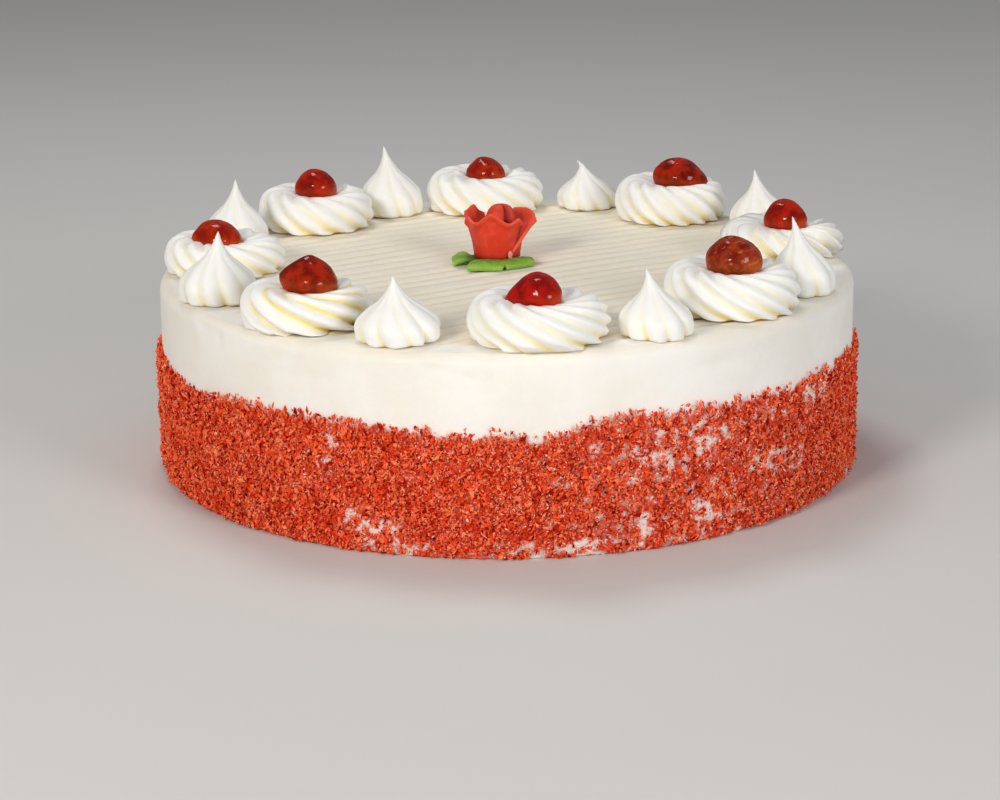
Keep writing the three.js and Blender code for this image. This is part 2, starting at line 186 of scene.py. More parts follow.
class Wiring:
    """Places nodes in one node tree and joins them by their sockets."""

    def __init__(self, tree: bpy.types.NodeTree) -> None:
        """Takes the tree to wire."""
        self.tree = tree

    def node(
        self, kind: str, settings: dict | None = None, inputs: dict | None = None
    ) -> bpy.types.Node:
        """Adds a node.

        Args:
            kind: Blender's name for the kind of node.
            settings: The node's own properties.
            inputs: Values or other nodes' sockets for its inputs, by name or number.

        Returns:
            The node.
        """
        made = self.tree.nodes.new(kind)
        for name, value in (settings or {}).items():
            setattr(made, name, value)
        for name, value in (inputs or {}).items():
            if isinstance(value, bpy.types.NodeSocket):
                self.tree.links.new(value, made.inputs[name])
            else:
                made.inputs[name].default_value = value
        return made

    def place(self) -> bpy.types.NodeSocket:
        """The place on the object, in metres."""
        return self.node("ShaderNodeTexCoord").outputs["Object"]

    def attribute(self, name: str) -> bpy.types.NodeSocket:
        """A number painted on the mesh."""
        return self.node("ShaderNodeAttribute", {"attribute_name": name}).outputs["Fac"]

    def reckon(self, operation: str, *values: object) -> bpy.types.NodeSocket:
        """A sum, product or other reckoning of numbers."""
        inputs = dict(enumerate(values))
        return self.node("ShaderNodeMath", {"operation": operation}, inputs).outputs[0]

    def blend(self, share: object, first: object, second: object) -> bpy.types.NodeSocket:
        """A mix of two colours, all of the second where share is 1."""
        inputs = {0: share, 6: first, 7: second}
        return self.node("ShaderNodeMix", {"data_type": "RGBA"}, inputs).outputs[2]

    def stretch(self, value: object, low: float, high: float) -> bpy.types.NodeSocket:
        """A number eased from 0 to 1 as value goes from low to high.

        Args:
            value: The number, or the socket that gives it.
            low: The value that gives 0.
            high: The value that gives 1.

        Returns:
            The eased number.
        """
        inputs = {"Value": value, "From Min": low, "From Max": high}
        settings = {"interpolation_type": "SMOOTHSTEP"}
        return self.node("ShaderNodeMapRange", settings, inputs).outputs["Result"]

    def scaled(self, factors: tuple[float, float, float], turn: float = 0.0) -> bpy.types.NodeSocket:
        """The place on the object, turned about Z by some degrees and stretched.

        Args:
            factors: How much finer a pattern gets along X, Y and Z.
            turn: The turn in degrees.

        Returns:
            The new place.
        """
        middle = self.node(
            "ShaderNodeMapping",
            {"vector_type": "TEXTURE"},
            {"Vector": self.place(), "Rotation": (0.0, 0.0, math.radians(turn))},
        )
        inputs = {"Vector": middle.outputs[0], "Scale": factors}
        return self.node("ShaderNodeMapping", None, inputs).outputs[0]

    def noise(self, size: float, detail: float = 2.0, vector: object = None) -> bpy.types.NodeSocket:
        """Soft noise from 0 to 1 with patches of about a size in millimetres."""
        inputs = {"Vector": vector or self.place(), "Scale": 1 / (size * MM), "Detail": detail}
        return self.node("ShaderNodeTexNoise", None, inputs).outputs[0]

    def group(self, tree: bpy.types.NodeTree, inputs: dict) -> bpy.types.NodeSocket:
        """A shared effect, with this finish's own values."""
        return self.node("ShaderNodeGroup", {"node_tree": tree}, inputs).outputs[0]


class SharedEffects:
    """Node groups that several finishes use, each built once."""

    def __init__(self) -> None:
        """Builds the groups."""
        self.mottle = self._group("mottle", {"Size": 10.0, "Low": 0.35, "High": 0.65}, "Mask")
        self._fill_mottle()
        self.grain = self._group("grain", {"Size": 1.0, "Speck Size": 0.4, "Specks": 0.3}, "Height")
        self._fill_grain()

    @staticmethod
    def _group(name: str, inputs: dict[str, float], output: str) -> bpy.types.NodeTree:
        """An empty group with numbers in and one number out.

        Args:
            name: The group's name.
            inputs: Each input's name and usual value.
            output: The output's name.

        Returns:
            The group, with only its sockets.
        """
        tree = bpy.data.node_groups.new(name, "ShaderNodeTree")
        for label, value in inputs.items():
            socket = tree.interface.new_socket(label, in_out="INPUT", socket_type="NodeSocketFloat")
            socket.default_value = value
        tree.interface.new_socket(output, in_out="OUTPUT", socket_type="NodeSocketFloat")
        return tree

    def _fill_mottle(self) -> None:
        """Broad soft patches with finer ones in them."""
        wiring = Wiring(self.mottle)
        given = wiring.node("NodeGroupInput").outputs
        scale = wiring.reckon("DIVIDE", 1 / MM, given["Size"])
        inputs = {"Vector": wiring.place(), "Scale": scale, "Detail": 3.0, "Roughness": 0.55}
        patches = wiring.node("ShaderNodeTexNoise", None, inputs).outputs[0]
        ranged = {"Value": patches, "From Min": given["Low"], "From Max": given["High"]}
        mask = wiring.node("ShaderNodeMapRange", {"interpolation_type": "SMOOTHSTEP"}, ranged)
        wiring.node("NodeGroupOutput", None, {"Mask": mask.outputs["Result"]})

    def _fill_grain(self) -> None:
        """Fine relief: soft lumps with small specks on them."""
        wiring = Wiring(self.grain)
        given = wiring.node("NodeGroupInput").outputs
        place = wiring.place()
        coarse = wiring.reckon("DIVIDE", 1 / MM, given["Size"])
        ranged = {"Vector": place, "Scale": coarse, "Detail": 4.0}
        lumps = wiring.node("ShaderNodeTexNoise", None, ranged)
        fine = wiring.reckon("DIVIDE", 1 / MM, given["Speck Size"])
        specks = wiring.node("ShaderNodeTexVoronoi", None, {"Vector": place, "Scale": fine})
        share = wiring.reckon("MULTIPLY", specks.outputs["Distance"], given["Specks"])
        height = wiring.reckon("ADD", lumps.outputs[0], share)
        wiring.node("NodeGroupOutput", None, {"Height": height})


def new_material(name: str) -> tuple[bpy.types.Material, Wiring, bpy.types.Node]:
    """Starts a material.

    Args:
        name: The material's name.

    Returns:
        The material, its wiring and its shader node.
    """
    material = bpy.data.materials.new(name)
    material.use_nodes = True
    material.node_tree.nodes.clear()
    wiring = Wiring(material.node_tree)
    shader = wiring.node("ShaderNodeBsdfPrincipled")
    wiring.node("ShaderNodeOutputMaterial", None, {"Surface": shader.outputs[0]})
    return material, wiring, shader


def set_sockets(shader: bpy.types.Node, values: dict[str, object]) -> None:
    """Sets a shader's own sockets to constants."""
    for name, value in values.items():
        shader.inputs[name].default_value = value


def relief(wiring: Wiring, shader: bpy.types.Node, height: object, depth: float) -> None:
    """Raises fine relief on a surface.

    Args:
        wiring: The material's wiring.
        shader: Its shader.
        height: The socket with the relief, from 0 to about 1.
        depth: The relief's depth in millimetres.
    """
    bump = wiring.node("ShaderNodeBump", None, {"Height": height, "Distance": depth * MM})
    wiring.tree.links.new(bump.outputs[0], shader.inputs["Normal"])


@dataclass(frozen=True)
class Frosting:
    """Smooth creamy frosting, with comb streaks on top and a pink stain under the crumb. Painted shade
    makes the combed top a little darker and warmer, and darker still in the comb grooves and on the
    shoulder.
    """

    cream: Tint = Tint(250, 246, 238)
    dull: Tint = Tint(244, 240, 229)
    # painted shade: the combed top is tinted a little darker and warmer than the side
    combed: Tint = Tint(246, 238, 219)
    # painted shade in the comb grooves and on the shoulder
    groove: Tint = Tint(236, 224, 198)
    stain: Tint = Tint(234, 106, 74)
    smear: Tint = Tint(196, 42, 18)
    comb_angle: float = 31.5

    def make(self, effects: SharedEffects) -> bpy.types.Material:
        """Builds the material from the shared effects.

        Args:
            effects: The shared effects.

        Returns:
            The material.
        """
        material, wiring, shader = new_material("frosting")
        patches = wiring.group(effects.mottle, {"Size": 26.0, "Low": 0.36, "High": 0.66})
        colour = wiring.blend(patches, self.cream.light, self.dull.light)
        # Painted shade: the combed top a little darker, the comb grooves and the shoulder darker still
        colour = wiring.blend(wiring.attribute("combed"), colour, self.combed.light)
        colour = wiring.blend(wiring.attribute("groove"), colour, self.groove.light)
        smears = wiring.group(effects.mottle, {"Size": 1.6, "Low": 0.4, "High": 0.62})
        stained = wiring.blend(smears, self.stain.light, self.smear.light)
        colour = wiring.blend(wiring.attribute("stain"), colour, stained)
        wiring.tree.links.new(colour, shader.inputs["Base Color"])
        streaks = wiring.noise(1.6, 2.0, wiring.scaled((0.03, 1.0, 1.0), self.comb_angle))
        combed = wiring.reckon("MULTIPLY", streaks, wiring.attribute("combed"))
        grain = wiring.group(effects.grain, {"Size": 5.0, "Speck Size": 1.5, "Specks": 0.05})
        height = wiring.reckon("MULTIPLY_ADD", combed, 0.7, grain)
        relief(wiring, shader, height, 0.25)
        set_sockets(shader, {
            "Roughness": 0.5,
            "Subsurface Weight": 0.35,
            "Subsurface Radius": (1.0, 0.75, 0.45),
            "Subsurface Scale": 2.0 * MM,
            "Specular IOR Level": 0.15,
        })
        return material


@dataclass(frozen=True)
class Piping:
    """Soft piped cream, near white, with light glowing yellow in its valleys and pockets."""

    cream: Tint = Tint(251, 248, 240)
    # painted glow: the yellow of light in the valleys and, deeper, in the pockets at the foot
    valley: Tint = Tint(252, 240, 176)
    pocket: Tint = Tint(246, 210, 88)

    def make(self, effects: SharedEffects) -> bpy.types.Material:
        """Builds the material from the shared effects.

        Args:
            effects: The shared effects.

        Returns:
            The material.
        """
        material, wiring, shader = new_material("piping")
        patches = wiring.group(effects.mottle, {"Size": 9.0, "Low": 0.3, "High": 0.6})
        strength = wiring.reckon("ADD", patches, 0.25)
        # Painted glow: yellow light painted into the valleys and pockets
        glow = wiring.reckon("MULTIPLY", wiring.attribute("valley"), strength)
        colour = wiring.blend(glow, self.cream.light, self.valley.light)
        colour = wiring.blend(wiring.attribute("pocket"), colour, self.pocket.light)
        wiring.tree.links.new(colour, shader.inputs["Base Color"])
        grain = wiring.group(effects.grain, {"Size": 2.4, "Speck Size": 0.8, "Specks": 0.08})
        relief(wiring, shader, grain, 0.12)
        set_sockets(shader, {
            "Roughness": 0.46,
            "Subsurface Weight": 0.7,
            "Subsurface Radius": (1.0, 0.92, 0.75),
            "Subsurface Scale": 3.4 * MM,
            "Specular IOR Level": 0.4,
        })
        return material


class CrumbTone(Enum):
    """Kinds of crumb: the darkest and lightest colour of each, and how many flakes there are. Between
    the two a flake's colour varies at random and with painted shade.
    """

    CORAL = (Tint(238, 70, 24), Tint(255, 142, 98), 24000)
    RED = (Tint(206, 30, 2), Tint(246, 76, 32), 24000)
    PALE = (Tint(252, 146, 112), Tint(255, 216, 200), 14000)
    DARK = (Tint(120, 12, 0), Tint(180, 26, 2), 8000)
    DUST = (Tint(224, 46, 10), Tint(255, 134, 92), 24000)
    CHIPS = (Tint(232, 52, 12), Tint(255, 112, 66), 24000)


@dataclass(frozen=True)
class Crumb:
    """Dry cake crumb of one tone, each flake a little different, partly at random and partly by
    painted shade: darker deep in the pile, lighter where it stands out.
    """

    tone: CrumbTone

    def make(self, effects: SharedEffects) -> bpy.types.Material:
        """Builds the material from the shared effects.

        Args:
            effects: The shared effects.

        Returns:
            The material.
        """
        dark, pale, _ = self.tone.value
        material, wiring, shader = new_material(f"crumb_{self.tone.name.lower()}")
        spots = wiring.group(effects.mottle, {"Size": 0.7, "Low": 0.35, "High": 0.65})
        # The tone attribute carries random tone and painted shade from the flake's place in the pile
        share = wiring.reckon("MULTIPLY_ADD", spots, 0.5, wiring.attribute("tone"))
        share = wiring.node("ShaderNodeClamp", None, {"Value": share}).outputs[0]
        wiring.tree.links.new(wiring.blend(share, dark.light, pale.light), shader.inputs["Base Color"])
        grain = wiring.group(effects.grain, {"Size": 0.6, "Speck Size": 0.3, "Specks": 0.4})
        relief(wiring, shader, grain, 0.25)
        set_sockets(shader, {
            "Roughness": 0.9,
            "Specular IOR Level": 0.1,
        })
        return material


@dataclass(frozen=True)
class Glaze:
    """Glace cherry: syrupy and translucent, dark in places, with a painted orange glow of light
    through the glaze on its lower side.
    """

    name: str
    flesh: Tint = Tint(178, 18, 4)
    dark: Tint = Tint(122, 8, 2)
    # painted glow: the orange of light shining through the glaze
    thin: Tint = Tint(214, 66, 8)
    patch_size: float = 5.0
    crease: float = 0.04
    vein: float = 0.0
    vein_turn: float = 35.0
    vein_tint: Tint = Tint(214, 110, 70)

    def make(self, effects: SharedEffects) -> bpy.types.Material:
        """Builds the material from the shared effects.

        Args:
            effects: The shared effects.

        Returns:
            The material.
        """
        material, wiring, shader = new_material(self.name)
        patches = wiring.group(effects.mottle, {"Size": self.patch_size, "Low": 0.34, "High": 0.62})
        colour = wiring.blend(patches, self.flesh.light, self.dark.light)
        # Painted glow: orange light through the glaze, where the thin layer says
        colour = wiring.blend(wiring.attribute("thin"), colour, self.thin.light)
        veins = wiring.node(
            "ShaderNodeTexVoronoi",
            {"feature": "DISTANCE_TO_EDGE"},
            {"Vector": wiring.place(), "Scale": 1 / (5.5 * MM)},
        )
        creases = wiring.stretch(veins.outputs["Distance"], 0.0, 0.22)
        fibres = wiring.noise(1.5, 3.0, wiring.scaled((0.3, 1.0, 1.0), self.vein_turn))
        lines = wiring.reckon("MULTIPLY", wiring.stretch(fibres, 0.56, 0.7), self.vein)
        colour = wiring.blend(lines, colour, self.vein_tint.light)
        wiring.tree.links.new(colour, shader.inputs["Base Color"])
        grain = wiring.group(effects.grain, {"Size": 2.0, "Speck Size": 1.0, "Specks": 0.1})
        relief(wiring, shader, wiring.reckon("ADD", creases, grain), self.crease)
        set_sockets(shader, {
            "Roughness": 0.3,
            "Subsurface Weight": 0.25,
            "Subsurface Radius": (1.0, 0.15, 0.05),
            "Subsurface Scale": 3.0 * MM,
            "Specular IOR Level": 0.0,
            "Coat Weight": 0.45,
            "Coat Roughness": 0.07,
        })
        return material


@dataclass(frozen=True)
class Paste:
    """Matt sugar paste, with paler rims and painted shade that darkens its folds, its feet and where
    it runs under the flower.
    """

    name: str
    body: Tint
    # painted shade in folds, at the petals' feet and where leaves run under the flower
    fold_shade: Tint
    rim: Tint
    grain: float = 0.12
    blotch: float = 0.5

    def make(self, effects: SharedEffects) -> bpy.types.Material:
        """Builds the material from the shared effects.

        Args:
            effects: The shared effects.

        Returns:
            The material.
        """
        material, wiring, shader = new_material(self.name)
        patches = wiring.group(effects.mottle, {"Size": 4.0, "Low": 0.38, "High": 0.7})
        patches = wiring.reckon("MULTIPLY", patches, self.blotch)
        colour = wiring.blend(patches, self.body.light, self.rim.light)
        colour = wiring.blend(wiring.attribute("rim"), colour, self.rim.light)
        # Painted shade in the folds
        colour = wiring.blend(wiring.attribute("fold_shade"), colour, self.fold_shade.light)
        wiring.tree.links.new(colour, shader.inputs["Base Color"])
        grain = wiring.group(effects.grain, {"Size": 1.2, "Speck Size": 0.5, "Specks": 0.3})
        relief(wiring, shader, grain, self.grain)
        set_sockets(shader, {
            "Roughness": 0.55,
            "Subsurface Weight": 0.2,
            "Subsurface Radius": (1.0, 0.4, 0.25),
            "Subsurface Scale": 1.0 * MM,
            "Specular IOR Level": 0.35,
        })
        return material


# ----------------------------------------------------------------------------------- pieces


def hand_over(
    name: str, form: bmesh.types.BMesh, material: bpy.types.Material, slot: Slot, *nodes: str
) -> bpy.types.Object:
    """Turns a finished form into a piece that rides on the cake.

    Args:
        name: The piece's name.
        form: The form in millimetres. It is used up.
        material: The piece's finish.
        slot: The name of the slot for that finish, passed on to place_mesh().
        nodes: The CAD nodes that the piece stands for.

    Returns:
        The piece.
    """
    bmesh.ops.recalc_face_normals(form, faces=form.faces)
    bmesh.ops.scale(form, vec=(MM, MM, MM), verts=form.verts)
    mesh = bpy.data.meshes.new(name)
    form.to_mesh(mesh)
    form.free()
    return place_mesh(name, mesh, material, slot, *nodes)


def place_mesh(
    name: str, mesh: bpy.types.Mesh, material: bpy.types.Material, slot: Slot, *nodes: str
) -> bpy.types.Object:
    """Puts a mesh that is already in metres into the scene as a piece.

    Args:
        name: The piece's name.
        mesh: Its mesh.
        material: Its finish.
        slot: The slot for that finish. It is not used.
        nodes: The CAD nodes that the piece stands for.

    Returns:
        The piece.
    """
    mesh.shade_smooth()
    mesh.materials.append(material)
    piece = bpy.data.objects.new(name, mesh)
    bpy.context.scene.collection.objects.link(piece)
    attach(piece, BODY)
    if nodes:
        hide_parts(*nodes)
    log.info("%s has %d faces", name, len(mesh.polygons))
    return piece


def turned_form(rows: list[Row], columns: int) -> tuple[bmesh.types.BMesh, bmesh.types.BMLayerItem]:
    """Turns an outline round the Z axis into a closed form.

    Args:
        rows: The outline from smooth_outline().
        columns: Steps in the turn.

    Returns:
        The form, and the layer that says how far along the outline each vertex lies.
    """
    form = bmesh.new()
    place = form.verts.layers.float.new("place")
    chain = []
    for out, up, along in rows:
        chain.append(form.verts.new((out, 0.0, up)))
        chain[-1][place] = along
    edges = [form.edges.new(pair) for pair in zip(chain, chain[1:])]
    bmesh.ops.spin(
        form, geom=chain + edges, cent=(0, 0, 0), axis=(0, 0, 1), dvec=(0, 0, 0),
        angle=math.tau, steps=columns, use_merge=True, use_duplicate=False,
    )
    bmesh.ops.remove_doubles(form, verts=form.verts, dist=WELD)
    return form, place


# ------------------------------------------------------------------------------ frosted body


@dataclass
class CombMarks:
    """Grooves that a comb has drawn across the top."""

    pitch: float = 7.8
    angle: float = 31.5
    reach: float = 115.0
    depth: float = 0.4
    half_width: float = 1.1
    crown: float = 0.12
    bow: float = 0.0006
    wander: float = 1.2
    wander_size: tuple[float, float] = (60.0, 30.0)
    row_shift: float = 0.25
    shift_size: tuple[float, float] = (0.77, 80.0)
    strength: float = 0.8
    strength_spread: float = 0.7
    strength_size: tuple[float, float] = (0.61, 30.0)
    weakest: float = 0.25
    rim_fade: float = 5.0
    seed: float = 4.0

    def inside(self, x: float, y: float) -> float:
        """1 where the top is combed and 0 near its rim, which is smooth."""
        return ease(self.reach, self.reach - self.rim_fade, math.hypot(x, y))

    def groove(self, x: float, y: float) -> tuple[float, float]:
        """Relief of the combed frosting at a place on top.

        Args:
            x: Place along X.
            y: Place along Y.

        Returns:
            The height over the plain top, and how deep in a groove it is from 0 to 1.
        """
        turn = math.radians(self.angle)
        along = x * math.cos(turn) + y * math.sin(turn)
        across = y * math.cos(turn) - x * math.sin(turn) + self.bow * along * along
        long, short = self.wander_size
        across += self.wander * drift(along / long, across / short, 0.0, self.seed)
        row = round(across / self.pitch)
        step, long = self.shift_size
        shift = self.row_shift * drift(row * step, along / long, 0.0, self.seed)
        away = across - (row + shift) * self.pitch
        step, long = self.strength_size
        uneven = drift(row * step, along / long, 1.0, self.seed)
        strength = max(self.weakest, self.strength + self.strength_spread * uneven)
        inside = self.inside(x, y)
        deep = bell(0.0, self.half_width, away) * strength * inside
        crown = self.crown * math.cos(math.tau * away / self.pitch) * inside
        return -self.depth * deep - crown, min(1.0, deep)


@dataclass
class Crease:
    """A long shallow mark in the side, or a dent where its two ends are the same."""

    start: tuple[float, float]
    end: tuple[float, float]
    width: float
    depth: float

    def relief(self, heading: float, height: float) -> float:
        """How far the side stands out at a heading and height because of the mark.

        Args:
            heading: Where round the cake, in degrees.
            height: Height over the underside.

        Returns:
            The relief in millimetres, below 0 in the mark.
        """
        x = turned_from(self.start[0], heading) * MM_PER_DEGREE
        y = height - self.start[1]
        run = turned_from(self.start[0], self.end[0]) * MM_PER_DEGREE
        rise = self.end[1] - self.start[1]
        length = max(1e-6, run * run + rise * rise)
        share = min(1.0, max(0.0, (x * run + y * rise) / length))
        return -self.depth * bell(0.0, self.width, math.hypot(x - share * run, y - share * rise))


@dataclass
class FrostedBody:
    """The cake under its toppings: a combed top, a round shoulder and a hand-smoothed side."""

    comb: CombMarks = field(default_factory=CombMarks)
    shoulder: float = 4.0
    columns: int = 330
    rows: int = 116
    shoulder_steps: int = 7
    bare_steps: int = 16
    coated_steps: int = 36
    bare_foot: float = 43.0
    foot_bevel: float = 0.8
    top_unevenness: float = 0.25
    top_patch: float = 35.0
    unevenness: float = 0.35
    patch_height: float = 40.0
    streaks: float = 0.1
    streak_height: float = 2.6
    shoulder_wave: float = 0.5
    shoulder_shade: float = 0.4
    marks: tuple[Crease, ...] = (
        Crease((-103, 65.5), (-96, 61.5), 1.3, 0.45),
        Crease((-96, 61.5), (-90, 58.5), 1.0, 0.3),
        Crease((-146, 66), (-141, 64), 2.6, 0.8),
        Crease((-60, 60), (-40, 63), 1.5, 0.25),
        Crease((-128, 57), (-118, 58.5), 1.2, 0.2),
    )

    def build(self, coat: "CrumbCoat") -> bmesh.types.BMesh:
        """Models the body.

        Args:
            coat: The crumb, which says where the frosting under it is stained.

        Returns:
            The form in millimetres.
        """
        form = bmesh.new()
        layers = {name: form.verts.layers.float.new(name) for name in ("groove", "combed", "stain")}
        bmesh.ops.create_grid(form, x_segments=self.rows, y_segments=self.columns, size=1)
        turn = math.radians(self.comb.angle)
        inner = CAKE_RADIUS - self.shoulder
        for vert in form.verts:
            across, along = vert.co.x, vert.co.y
            u = inner * across * math.sqrt(1 - along * along / 2)
            v = inner * along * math.sqrt(1 - across * across / 2)
            x, y = u * math.cos(turn) - v * math.sin(turn), u * math.sin(turn) + v * math.cos(turn)
            rise, groove = self.comb.groove(x, y)
            swell = self.top_unevenness * drift(x / self.top_patch, y / self.top_patch, 0.0, 2.0)
            vert.co = (x, y, CAKE_HEIGHT + rise + swell)
            # how deep in a groove, kept as painted shade in the comb grooves
            vert[layers["groove"]] = groove
            vert[layers["combed"]] = self.comb.inside(x, y)
        for radius, height in self._side_rings():
            self._lower_rim(form, radius, height, layers, coat)
        rim = [edge for edge in form.edges if edge.is_boundary]
        bmesh.ops.contextual_create(form, geom=rim)
        return form

    def _side_rings(self) -> list[tuple[float, float]]:
        """Radius and height of each ring from the shoulder down to the foot.

        Returns:
            Pairs of radius and height, the highest first.
        """
        rings = []
        for step in range(1, self.shoulder_steps + 1):
            bend = math.radians(90) * step / self.shoulder_steps
            out = CAKE_RADIUS - self.shoulder * (1 - math.sin(bend))
            rings.append((out, CAKE_HEIGHT - self.shoulder * (1 - math.cos(bend))))
        bare_top = CAKE_HEIGHT - self.shoulder
        for step in range(1, self.bare_steps + 1):
            drop = (bare_top - self.bare_foot) * step / self.bare_steps
            rings.append((CAKE_RADIUS, bare_top - drop))
        for step in range(1, self.coated_steps + 1):
            drop = (self.bare_foot - self.foot_bevel) * step / self.coated_steps
            rings.append((CAKE_RADIUS, self.bare_foot - drop))
        rings.append((CAKE_RADIUS - self.foot_bevel, 0.0))
        return rings

    def _lower_rim(
        self, form: bmesh.types.BMesh, radius: float, height: float,
        layers: dict[str, bmesh.types.BMLayerItem], coat: "CrumbCoat",
    ) -> None:
        """Extrudes the open rim to one more ring and shapes it.

        Args:
            form: The body so far, open at its rim.
            radius: The new ring's distance from the axis.
            height: The new ring's height.
            layers: The painted layers, by name.
            coat: The crumb, which says where the frosting is stained.
        """
        rim = [edge for edge in form.edges if edge.is_boundary]
        grown = bmesh.ops.extrude_edge_only(form, edges=rim)["geom"]
        for vert in (item for item in grown if isinstance(item, bmesh.types.BMVert)):
            turn = math.atan2(vert.co.y, vert.co.x)
            heading = math.degrees(turn)
            settled = ease(CAKE_HEIGHT, CAKE_HEIGHT - self.shoulder, height)
            out = radius + self.side_relief(heading, height) * settled
            wave = self.shoulder_wave * drift_round(turn, 3.0, 0.0, 9.0)
            vert.co = (out * math.cos(turn), out * math.sin(turn), height)
            vert.co.z += wave * bell(CAKE_HEIGHT - self.shoulder, 5.0, height)
            # painted shade on the shoulder, kept in the groove layer
            vert[layers["groove"]] = self.shoulder_shade * (1 - settled)
            vert[layers["stain"]] = coat.stain(heading, height)

    def side_relief(self, heading: float, height: float) -> float:
        """How far the side stands out at a heading and height from being handled.

        Args:
            heading: Where round the cake, in degrees.
            height: Height over the underside.

        Returns:
            The relief in millimetres.
        """
        turn = math.radians(heading)
        slow = self.unevenness * drift_round(turn, 2.2, height / self.patch_height, 1.0)
        swept = self.streaks * drift_round(turn, 5.0, height / self.streak_height, 5.0)
        return slow + swept + sum(mark.relief(heading, height) for mark in self.marks)


# ------------------------------------------------------------------------------- crumb coat


@dataclass
class BarePatch:
    """A place on the side where few crumbs have stuck."""

    heading: float
    height: float
    wide: float
    tall: float
    thinning: float

    def missing(self, heading: float, height: float) -> float:
        """The share of crumbs that is missing at a place, from 0 to thinning.

        Args:
            heading: Where round the cake, in degrees.
            height: Height over the underside.

        Returns:
            The share.
        """
        x = turned_from(self.heading, heading) * MM_PER_DEGREE / self.wide
        y = (height - self.height) / self.tall
        return self.thinning * math.exp(-(x * x + y * y))


@dataclass
class CrumbCoat:
    """Cake crumb pressed on to the lower side, as thousands of small flakes."""

    mean_edge: float = 46.0
    ripples: tuple[tuple[float, float], ...] = ((0.8, 5.0), (0.6, 31.0))
    tufts: tuple[tuple[float, float, float], ...] = ((0.9, 2.3, 6.0), (2.3, 0.9, 7.0))
    edge_points: tuple[tuple[float, float], ...] = (
        (-165, 45.5), (-147, 42.0), (-133, 45.5), (-123, 45.8), (-114, 44.8), (-104, 43.4),
        (-94, 43.0), (-87, 41.6), (-81, 44.8), (-73, 47.6), (-60, 46.8), (-48, 46.8), (-38, 47.0),
        (-15, 46.5),
    )
    patches: tuple[BarePatch, ...] = (
        BarePatch(-110, 7, 8, 4.5, 0.8),
        BarePatch(-114, 12, 4, 3, 0.7),
        BarePatch(-105, 3, 6, 2.5, 0.8),
        BarePatch(-85.5, 42, 4, 2.5, 0.9),
        BarePatch(-79.6, 2.5, 8, 3, 0.85),
        BarePatch(-71.5, 9, 5, 3, 0.75),
        BarePatch(-67, 31, 9, 5, 0.5),
        BarePatch(-60, 38, 8, 4, 0.4),
        BarePatch(-47, 22, 12, 5, 0.5),
        BarePatch(-33.5, 39, 10, 5, 0.65),
        BarePatch(-44, 41, 9, 4, 0.5),
    )
    length: tuple[float, float] = (1.0, 3.1)
    dust_length: tuple[float, float] = (0.5, 1.5)
    width_share: tuple[float, float] = (0.32, 0.68)
    thickness_share: tuple[float, float] = (0.26, 0.55)
    pile: float = 1.5
    tilt: float = 42.0
    foot: float = 0.9
    floor_gap: float = 0.05
    fray: float = 1.8
    edge_rise: float = 2.2
    stray_share: float = 0.0008
    stray_rise: float = 3.4
    upright_band: float = 4.0
    upright_freedom: float = 0.45
    # painted shade: flakes deep in the pile darker, raised ones lighter
    shade: float = 0.75
    shade_spread: tuple[float, float] = (0.46, 0.2)
    least_stain: float = 0.1
    stain_start: tuple[float, float] = (0.5, 3.5)
    stain_band: tuple[float, float] = (0.4, 0.72)
    clump: float = 0.7
    clump_size: float = 8.0
    lump_size: float = 2.9
    lump_rise: float = 1.9
    # painted shade: flakes on lumps lighter, those in the gaps darker
    lump_shade: float = 0.75
    thinning: float = 0.14
    patch_thinning: float = 0.7
    loose_thinning: float = 0.2
    lace: float = 0.5
    lace_spread: float = 1.8
    lace_size: float = 2.7
    bareness: float = 1.15
    barest: float = 0.95
    dense_heading: float = -142.0
    dense_spread: float = 26.0
    loose_heading: float = -62.0
    loose_spread: float = 30.0
    shapes: int = 24
    chip_reach: tuple[float, float] = (0.4, 1.5)
    seed: int = 71

    def edge(self, heading: float) -> float:
        """Mean height of the coat's upper edge at a heading.

        Args:
            heading: Where round the cake, in degrees.

        Returns:
            The height in millimetres.
        """
        points = self.edge_points
        first, last = points[0], points[-1]
        waves = (rise * math.sin(math.radians(count * heading)) for rise, count in self.ripples)
        level = self.mean_edge + sum(waves)
        if first[0] <= heading <= last[0]:
            level = float(np.interp(heading, [p[0] for p in points], [p[1] for p in points]))
        tufts = (rise * drift(heading / size, 0.0, 0.0, seed) for rise, size, seed in self.tufts)
        return level + sum(tufts)

    def cover(self, heading: float, height: float) -> float:
        """The share of crumbs that has stuck at a place, from 0 to 1.

        Args:
            heading: Where round the cake, in degrees.
            height: Height over the underside.

        Returns:
            The share.
        """
        missing = max(patch.missing(heading, height) for patch in self.patches)
        turn = math.radians(heading)
        patchy = ease(0.3, 0.55, drift_round(turn, 9.0, height / 14, 3.0))
        lacy = self.lace + self.lace_spread * drift_round(turn, 46.0, height / self.lace_size, 8.0)
        dense = bell(0.0, self.dense_spread, turned_from(self.dense_heading, heading))
        loose = bell(0.0, self.loose_spread, turned_from(self.loose_heading, heading))
        thin = (self.patch_thinning * patchy + self.thinning) * (1 - dense)
        bare = missing + thin + self.loose_thinning * loose
        return 1 - min(self.barest, max(0.0, self.bareness * bare * (0.2 + lacy)))

    def stain(self, heading: float, height: float) -> float:
        """How strongly the frosting under the coat is stained, from 0 to 1.

        Args:
            heading: Where round the cake, in degrees.
            height: Height over the underside.

        Returns:
            The strength.
        """
        edge = self.edge(heading)
        first, full = self.stain_start
        covered = ease(*self.stain_band, self.cover(heading, height))
        spread = self.least_stain + (1 - self.least_stain) * covered
        return ease(edge - first, edge - full, height) * spread

    def _clump(self, heading: float, height: float) -> float:
        """How much paler or darker the crumb is about a place, from -1 to 1."""
        return drift_round(math.radians(heading), 15.0, height / self.clump_size, 12.0)

